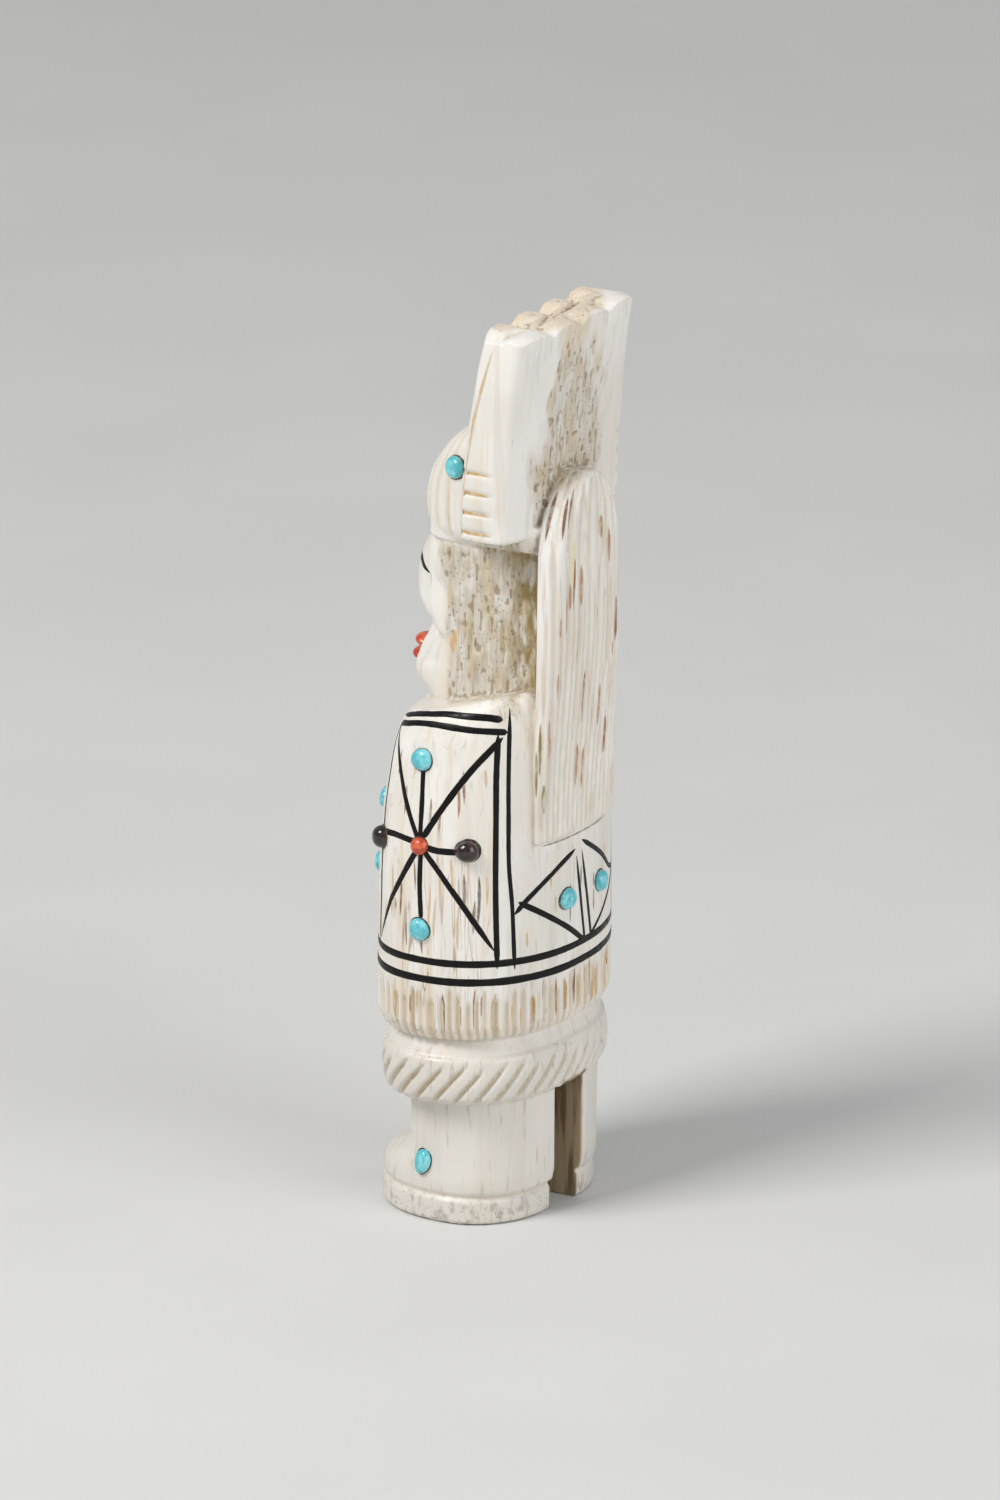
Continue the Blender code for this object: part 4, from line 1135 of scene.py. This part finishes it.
def antler_surface():
    """Polished antler: ivory white with fine upright brown streaks and an open, porous core."""
    n = Nodes("antler_polished")

    def over(under, share, strength, tone):
        return n.mix(n.times(share, strength), under, tone)

    def threads(width, scale, stretch, shift):
        """Long thin upright lines: where a stretched noise passes its middle value."""
        value = n.noise(scale, 1.0, (1.0, 1.0, stretch), shift=shift, warp=0.2)
        return n.band(n.math("ABSOLUTE", n.math("SUBTRACT", value, 0.5)), width, 0.0)

    broad = n.noise(0.16, 3.0, (1.0, 1.0, 0.45))
    base = n.mix(n.band(broad, 0.35, 0.68), colour(229, 224, 215), colour(240, 237, 231))
    base = over(base, n.band(n.noise(0.6, 2.0, (1.0, 1.0, 0.06), shift=7.0), 0.52, 0.74), 0.45,
                colour(226, 208, 184))
    cool = n.band(n.noise(0.9, 2.0, (1.0, 1.0, 0.05), shift=9.0), 0.54, 0.72)
    base = over(base, cool, 0.4, colour(208, 203, 198))
    cloth, hair, porous = n.layer("cloth"), n.layer("hair"), n.layer("porous")

    wide = n.band(n.noise(0.55, 2.0, (1.0, 1.0, 0.07), shift=3.0), 0.5, 0.68)
    base = over(base, n.times(wide, cloth), 0.55, colour(222, 200, 170))
    patch = n.band(n.noise(0.32, 2.0, (1.0, 1.0, 0.5), shift=11.0), 0.42, 0.58)
    fine = n.times(n.times(threads(0.018, 0.75, 0.05, 13.0), patch), cloth)
    tone = n.mix(n.band(n.noise(0.4, 1.0, shift=19.0), 0.42, 0.58), colour(196, 158, 120),
                 colour(150, 122, 98))
    base = over(base, fine, 0.7, tone)
    other = n.band(n.noise(0.4, 2.0, (1.0, 1.0, 0.4), shift=27.0), 0.48, 0.6)
    dark = n.times(n.times(threads(0.012, 0.9, 0.045, 29.0), other), cloth)
    base = over(base, dark, 0.75, colour(104, 76, 56))

    red = n.noise(1.15, 1.0, (1.0, 1.0, 0.1), shift=37.0)
    base = over(base, n.times(n.band(red, 0.56, 0.68), hair), 0.4, colour(214, 188, 164))
    grain = n.times(threads(0.02, 0.8, 0.06, 39.0), hair)
    base = over(base, grain, 0.35, colour(196, 180, 158))

    specks = n.band(n.noise(2.2, 2.0, (1.0, 1.0, 0.12), shift=31.0), 0.68, 0.76)
    base = over(base, specks, 0.35, colour(150, 140, 136))
    low = n.layer("low")
    base = over(base, low, 0.5, colour(208, 202, 192))
    scuffs = n.band(n.noise(1.6, 3.0, (1.0, 1.0, 0.1), shift=35.0), 0.58, 0.72)
    base = over(base, n.times(scuffs, low), 0.5, colour(168, 158, 150))
    sole = n.times(n.layer("sole"),
                  n.band(n.noise(0.9, 4.0, (1.0, 1.0, 0.7), shift=33.0), 0.5, 0.7))
    base = over(base, sole, 0.6, colour(150, 134, 126))

    base = over(base, n.layer("toe"), 0.6, colour(226, 190, 142))
    grit = n.times(n.layer("sole"), n.band(n.noise(2.6, 3.0, shift=57.0), 0.62, 0.7))
    base = over(base, grit, 0.75, colour(84, 74, 68))

    stain = n.layer("stain")
    base = n.mix(n.band(stain, 0.02, 0.4), base, colour(220, 206, 182))
    base = over(base, n.band(stain, 0.35, 0.85), 0.85, colour(196, 162, 116))
    # Painted shade: the hollows of the carving darkened to a warm grey
    hollow_shade = n.band(n.layer("hollow"), 0.25, 1.0)
    base = over(base, hollow_shade, 0.35, colour(196, 178, 150))
    # Painted shade in the cleft between the boots, brown and streaky
    cleft = n.band(n.math("ADD", n.layer("cleft"), n.times(n.noise(0.3), 0.3)), 0.4, 1.1)
    cleft_shade_tone = n.mix(n.band(n.noise(0.8, 3.0, (1.0, 1.0, 0.1), shift=45.0), 0.4, 0.62),
                       colour(116, 90, 58), colour(176, 156, 124))
    base = over(base, cleft, 0.95, cleft_shade_tone)

    core = n.mix(n.band(n.noise(0.5, 3.0, (1.0, 1.0, 0.35), shift=41.0), 0.36, 0.66),
                 colour(222, 217, 209), colour(210, 197, 172))
    core = over(core, n.band(n.noise(2.2, 3.0, (1.0, 1.0, 0.11), shift=47.0), 0.5, 0.68), 0.6,
                colour(176, 170, 162))
    core = over(core, n.band(n.noise(1.9, 3.0, (1.0, 1.0, 0.12), shift=49.0), 0.54, 0.7), 0.6,
                colour(182, 158, 118))
    # Olive of the core, partly painted shade where the head meets the hair
    olive_and_shade = n.times(n.layer("olive"),
                   n.band(n.noise(0.8, 3.0, (1.0, 1.0, 0.4), shift=51.0), 0.3, 0.62))
    core = over(core, olive_and_shade, 0.95, colour(140, 118, 58))
    core = over(core, n.layer("tips"), 0.6, colour(232, 216, 194))
    pits = n.band(n.cells(2.8, (1.0, 1.0, 0.5)), 0.33, 0.08)
    patches = n.band(n.math("ADD", n.noise(0.45, 2.0, shift=53.0),
                            n.times(n.layer("pitted"), 0.2)), 0.44, 0.6)
    holes = n.times(pits, patches)
    core = over(core, holes, 0.7, colour(126, 102, 76))
    # Painted shade in the hollows of the porous core
    core = over(core, hollow_shade, 0.65, colour(140, 116, 86))
    base = n.mix(porous, base, core)

    normal = n.bump(n.noise(3.0, 3.0, (1.0, 1.0, 0.08), shift=61.0), 0.1, 0.05)
    normal = n.bump(n.noise(2.2, 4.0, (1.0, 1.0, 0.5)), 0.12, 0.06, normal)
    open_grain = n.math("ADD", n.times(holes, -1.0), n.noise(3.2, 3.0, (1.0, 1.0, 0.2)))
    normal = n.bump(n.times(open_grain, porous), 0.5, 0.2, normal)
    polish = n.band(n.noise(0.8, 3.0, shift=71.0), 0.3, 0.7, 0.3, 0.42)
    rough = n.math("ADD", polish, n.times(porous, 0.34))
    return n.finish(base, rough, normal, Subsurface_Weight=0.05, Subsurface_Scale=0.0008)


def mark_surface():
    """Stained lines in the antler, and one painted shadow line under the hair: each keeps its own
    tint, a little uneven along its length.
    """
    n = Nodes("antler_stained_and_shaded")
    worn = n.band(n.noise(1.4, 3.0, (1.0, 1.0, 0.4), shift=3.0), 0.4, 0.68)
    tone = n.mix(n.times(worn, 0.4), n.layer("tint", "Color"), PALE_TINT)
    rough = n.band(n.noise(1.1, 2.0), 0.3, 0.7, 0.4, 0.6)
    return n.finish(tone, rough, n.bump(n.noise(2.6, 3.0, (1.0, 1.0, 0.3)), 0.25, 0.06))


def ink_surface():
    """Black filling, nearly flush, with a dull polish and fine specks."""
    n = Nodes("ink_fill")
    specks = n.band(n.noise(3.2, 4.0, shift=5.0), 0.66, 0.76)
    tone = n.mix(n.times(specks, 0.4), colour(12, 10, 10), colour(84, 78, 74))
    rough = n.band(n.noise(1.4, 3.0, shift=9.0), 0.35, 0.65, 0.28, 0.5)
    normal = n.bump(n.noise(2.5, 3.0), 0.35, 0.05)
    return n.finish(tone, rough, normal, Specular_IOR_Level=0.22)


def turquoise_surface():
    """Polished sky-blue turquoise with paler and greener clouds and fine tan veins."""
    n = Nodes("turquoise_polished")
    cloud = n.band(n.noise(0.9, 3.0, shift=2.0, warp=0.6), 0.38, 0.64)
    tone = n.mix(cloud, colour(84, 184, 198), colour(134, 216, 224))
    tone = n.mix(n.times(n.band(n.noise(2.6, 3.0, shift=13.0), 0.55, 0.7), 0.5), tone,
                 colour(160, 214, 208))
    vein = n.band(n.noise(1.6, 5.0, shift=23.0, warp=1.4), 0.62, 0.66)
    tone = n.mix(n.times(vein, 0.35), tone, colour(120, 130, 100))
    rough = n.band(n.noise(1.5, 2.0), 0.3, 0.7, 0.2, 0.34)
    normal = n.bump(n.noise(2.0, 3.0), 0.2, 0.05)
    return n.finish(tone, rough, normal, Coat_Weight=0.25, Coat_Roughness=0.12)


def coral_surface():
    """Polished orange-red coral with paler patches and dark flecks."""
    n = Nodes("coral_polished")
    tone = n.mix(n.band(n.noise(1.1, 3.0, shift=4.0), 0.4, 0.64), colour(186, 62, 36),
                 colour(220, 104, 66))
    fleck = n.band(n.noise(3.4, 3.0, shift=15.0), 0.64, 0.7)
    tone = n.mix(n.times(fleck, 0.5), tone, colour(120, 40, 30))
    rough = n.band(n.noise(1.7, 2.0), 0.3, 0.7, 0.16, 0.3)
    normal = n.bump(n.noise(2.4, 3.0), 0.25, 0.05)
    return n.finish(tone, rough, normal, Coat_Weight=0.4, Coat_Roughness=0.08)


def jet_surface():
    """Glossy brown-black jet."""
    n = Nodes("jet_polished")
    tone = n.mix(n.band(n.noise(1.2, 3.0, shift=6.0), 0.45, 0.7), colour(24, 15, 15),
                 colour(66, 38, 36))
    rough = n.band(n.noise(1.5, 3.0, shift=8.0), 0.35, 0.65, 0.07, 0.2)
    normal = n.bump(n.noise(1.6, 3.0), 0.5, 0.12)
    return n.finish(tone, rough, normal, Coat_Weight=0.5, Coat_Roughness=0.06)


def glue_surface():
    """The dark brown filler round each stone."""
    n = Nodes("stone_glue")
    tone = n.mix(n.band(n.noise(2.2, 3.0), 0.42, 0.66), colour(40, 32, 28), colour(122, 100, 78))
    return n.finish(tone, n.band(n.noise(1.8, 2.0), 0.3, 0.7, 0.3, 0.5),
                    n.bump(n.noise(3.0, 3.0), 0.4, 0.06))


def backdrop_surface():
    n = Nodes("pale_floor")
    tone = n.mix(n.band(n.noise(0.02, 2.0), 0.3, 0.7), colour(216, 216, 214), colour(219, 219, 217))
    return n.finish(tone, n.band(n.noise(0.05, 2.0), 0.3, 0.7, 0.85, 0.92),
                    n.bump(n.noise(0.8, 2.0), 0.05, 0.05))


def to_frame(spot):
    """A place in the figure's frame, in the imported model's metres."""
    return (Vector(spot) - SHIFT) * MM


def camera_axes():
    """Unit directions from the figure to the camera, to its right and up."""
    turn, rise = math.radians(CAMERA_AZIMUTH), math.radians(CAMERA_ELEVATION)
    back = Vector((math.sin(turn) * math.cos(rise), -math.cos(turn) * math.cos(rise), math.sin(rise)))
    right = Vector((math.cos(turn), math.sin(turn), 0.0))
    return back, right, back.cross(right)


def make_camera():
    back, right, up = camera_axes()
    data = bpy.data.cameras.new("camera")
    data.lens = CAMERA_LENS
    data.sensor_width = FILM_WIDTH
    data.clip_start, data.clip_end = 0.05, 20.0
    camera = bpy.data.objects.new("camera", data)
    spot = back * CAMERA_DISTANCE + right * CAMERA_RIGHT + up * CAMERA_UP
    spot.z += CAMERA_TARGET_HEIGHT
    turn = Matrix((right, up, back)).transposed().to_4x4()
    camera.matrix_world = Matrix.Translation(to_frame(spot)) @ turn
    bpy.context.scene.collection.objects.link(camera)
    bpy.context.scene.camera = camera


def make_light(name, direction, distance, size, power, tone):
    """A soft square light that shines at the middle of the figure."""
    data = bpy.data.lights.new(name, "AREA")
    data.shape = "SQUARE"
    data.size = size
    data.energy = power
    data.color = tone
    light = bpy.data.objects.new(name, data)
    aim = Vector((0.0, 0.0, LIGHT_AIM_HEIGHT))
    light.location = aim + direction.normalized() * distance
    light.rotation_euler = (-direction).to_track_quat("-Z", "Y").to_euler()
    bpy.context.scene.collection.objects.link(light)


def make_stage():
    """The pale floor, the lights and the pale surroundings."""
    back, right, _ = camera_axes()
    flat_back = Vector((back.x, back.y, 0.0)).normalized()
    mesh = bpy.data.meshes.new("floor")
    corners = [(x * FLOOR_REACH, y * FLOOR_REACH, 0) for x, y in ((-1, -1), (1, -1), (1, 1), (-1, 1))]
    mesh.from_pydata(corners, [], [(0, 1, 2, 3)])
    mesh.materials.append(backdrop_surface())
    floor = bpy.data.objects.new("floor", mesh)
    floor.location.z = -FLOOR_DROP
    bpy.context.scene.collection.objects.link(floor)
    up = Vector((0.0, 0.0, 1.0))
    make_light("key", flat_back * 0.5 - right * 0.75 + up, KEY_DISTANCE, KEY_SIZE, KEY_POWER,
               (1.0, 0.985, 0.965))
    make_light("fill", flat_back * 0.8 + right * 0.9 + up * 0.5, FILL_DISTANCE, FILL_SIZE, FILL_POWER,
               (0.975, 0.985, 1.0))
    world = bpy.data.worlds.new("pale")
    world.use_nodes = True
    around = world.node_tree.nodes["Background"].inputs
    around["Color"].default_value = (0.86, 0.87, 0.88, 1.0)
    around["Strength"].default_value = WORLD_STRENGTH
    bpy.context.scene.world = world
    bpy.context.scene.view_settings.view_transform = "Standard"


def main():
    surfaces = {"turquoise": turquoise_surface(), "coral": coral_surface(), "jet": jet_surface()}
    tree = make_carving(antler_surface())
    make_ink(tree, ink_surface())
    make_marks(tree, mark_surface())
    rims = ([], [])
    for index, stone in enumerate(stone_list()):
        make_stone(index, stone, surfaces, rims)
    new_piece("stone_rims", rims[0], rims[1], glue_surface(), [])
    make_stage()
    make_camera()


main()
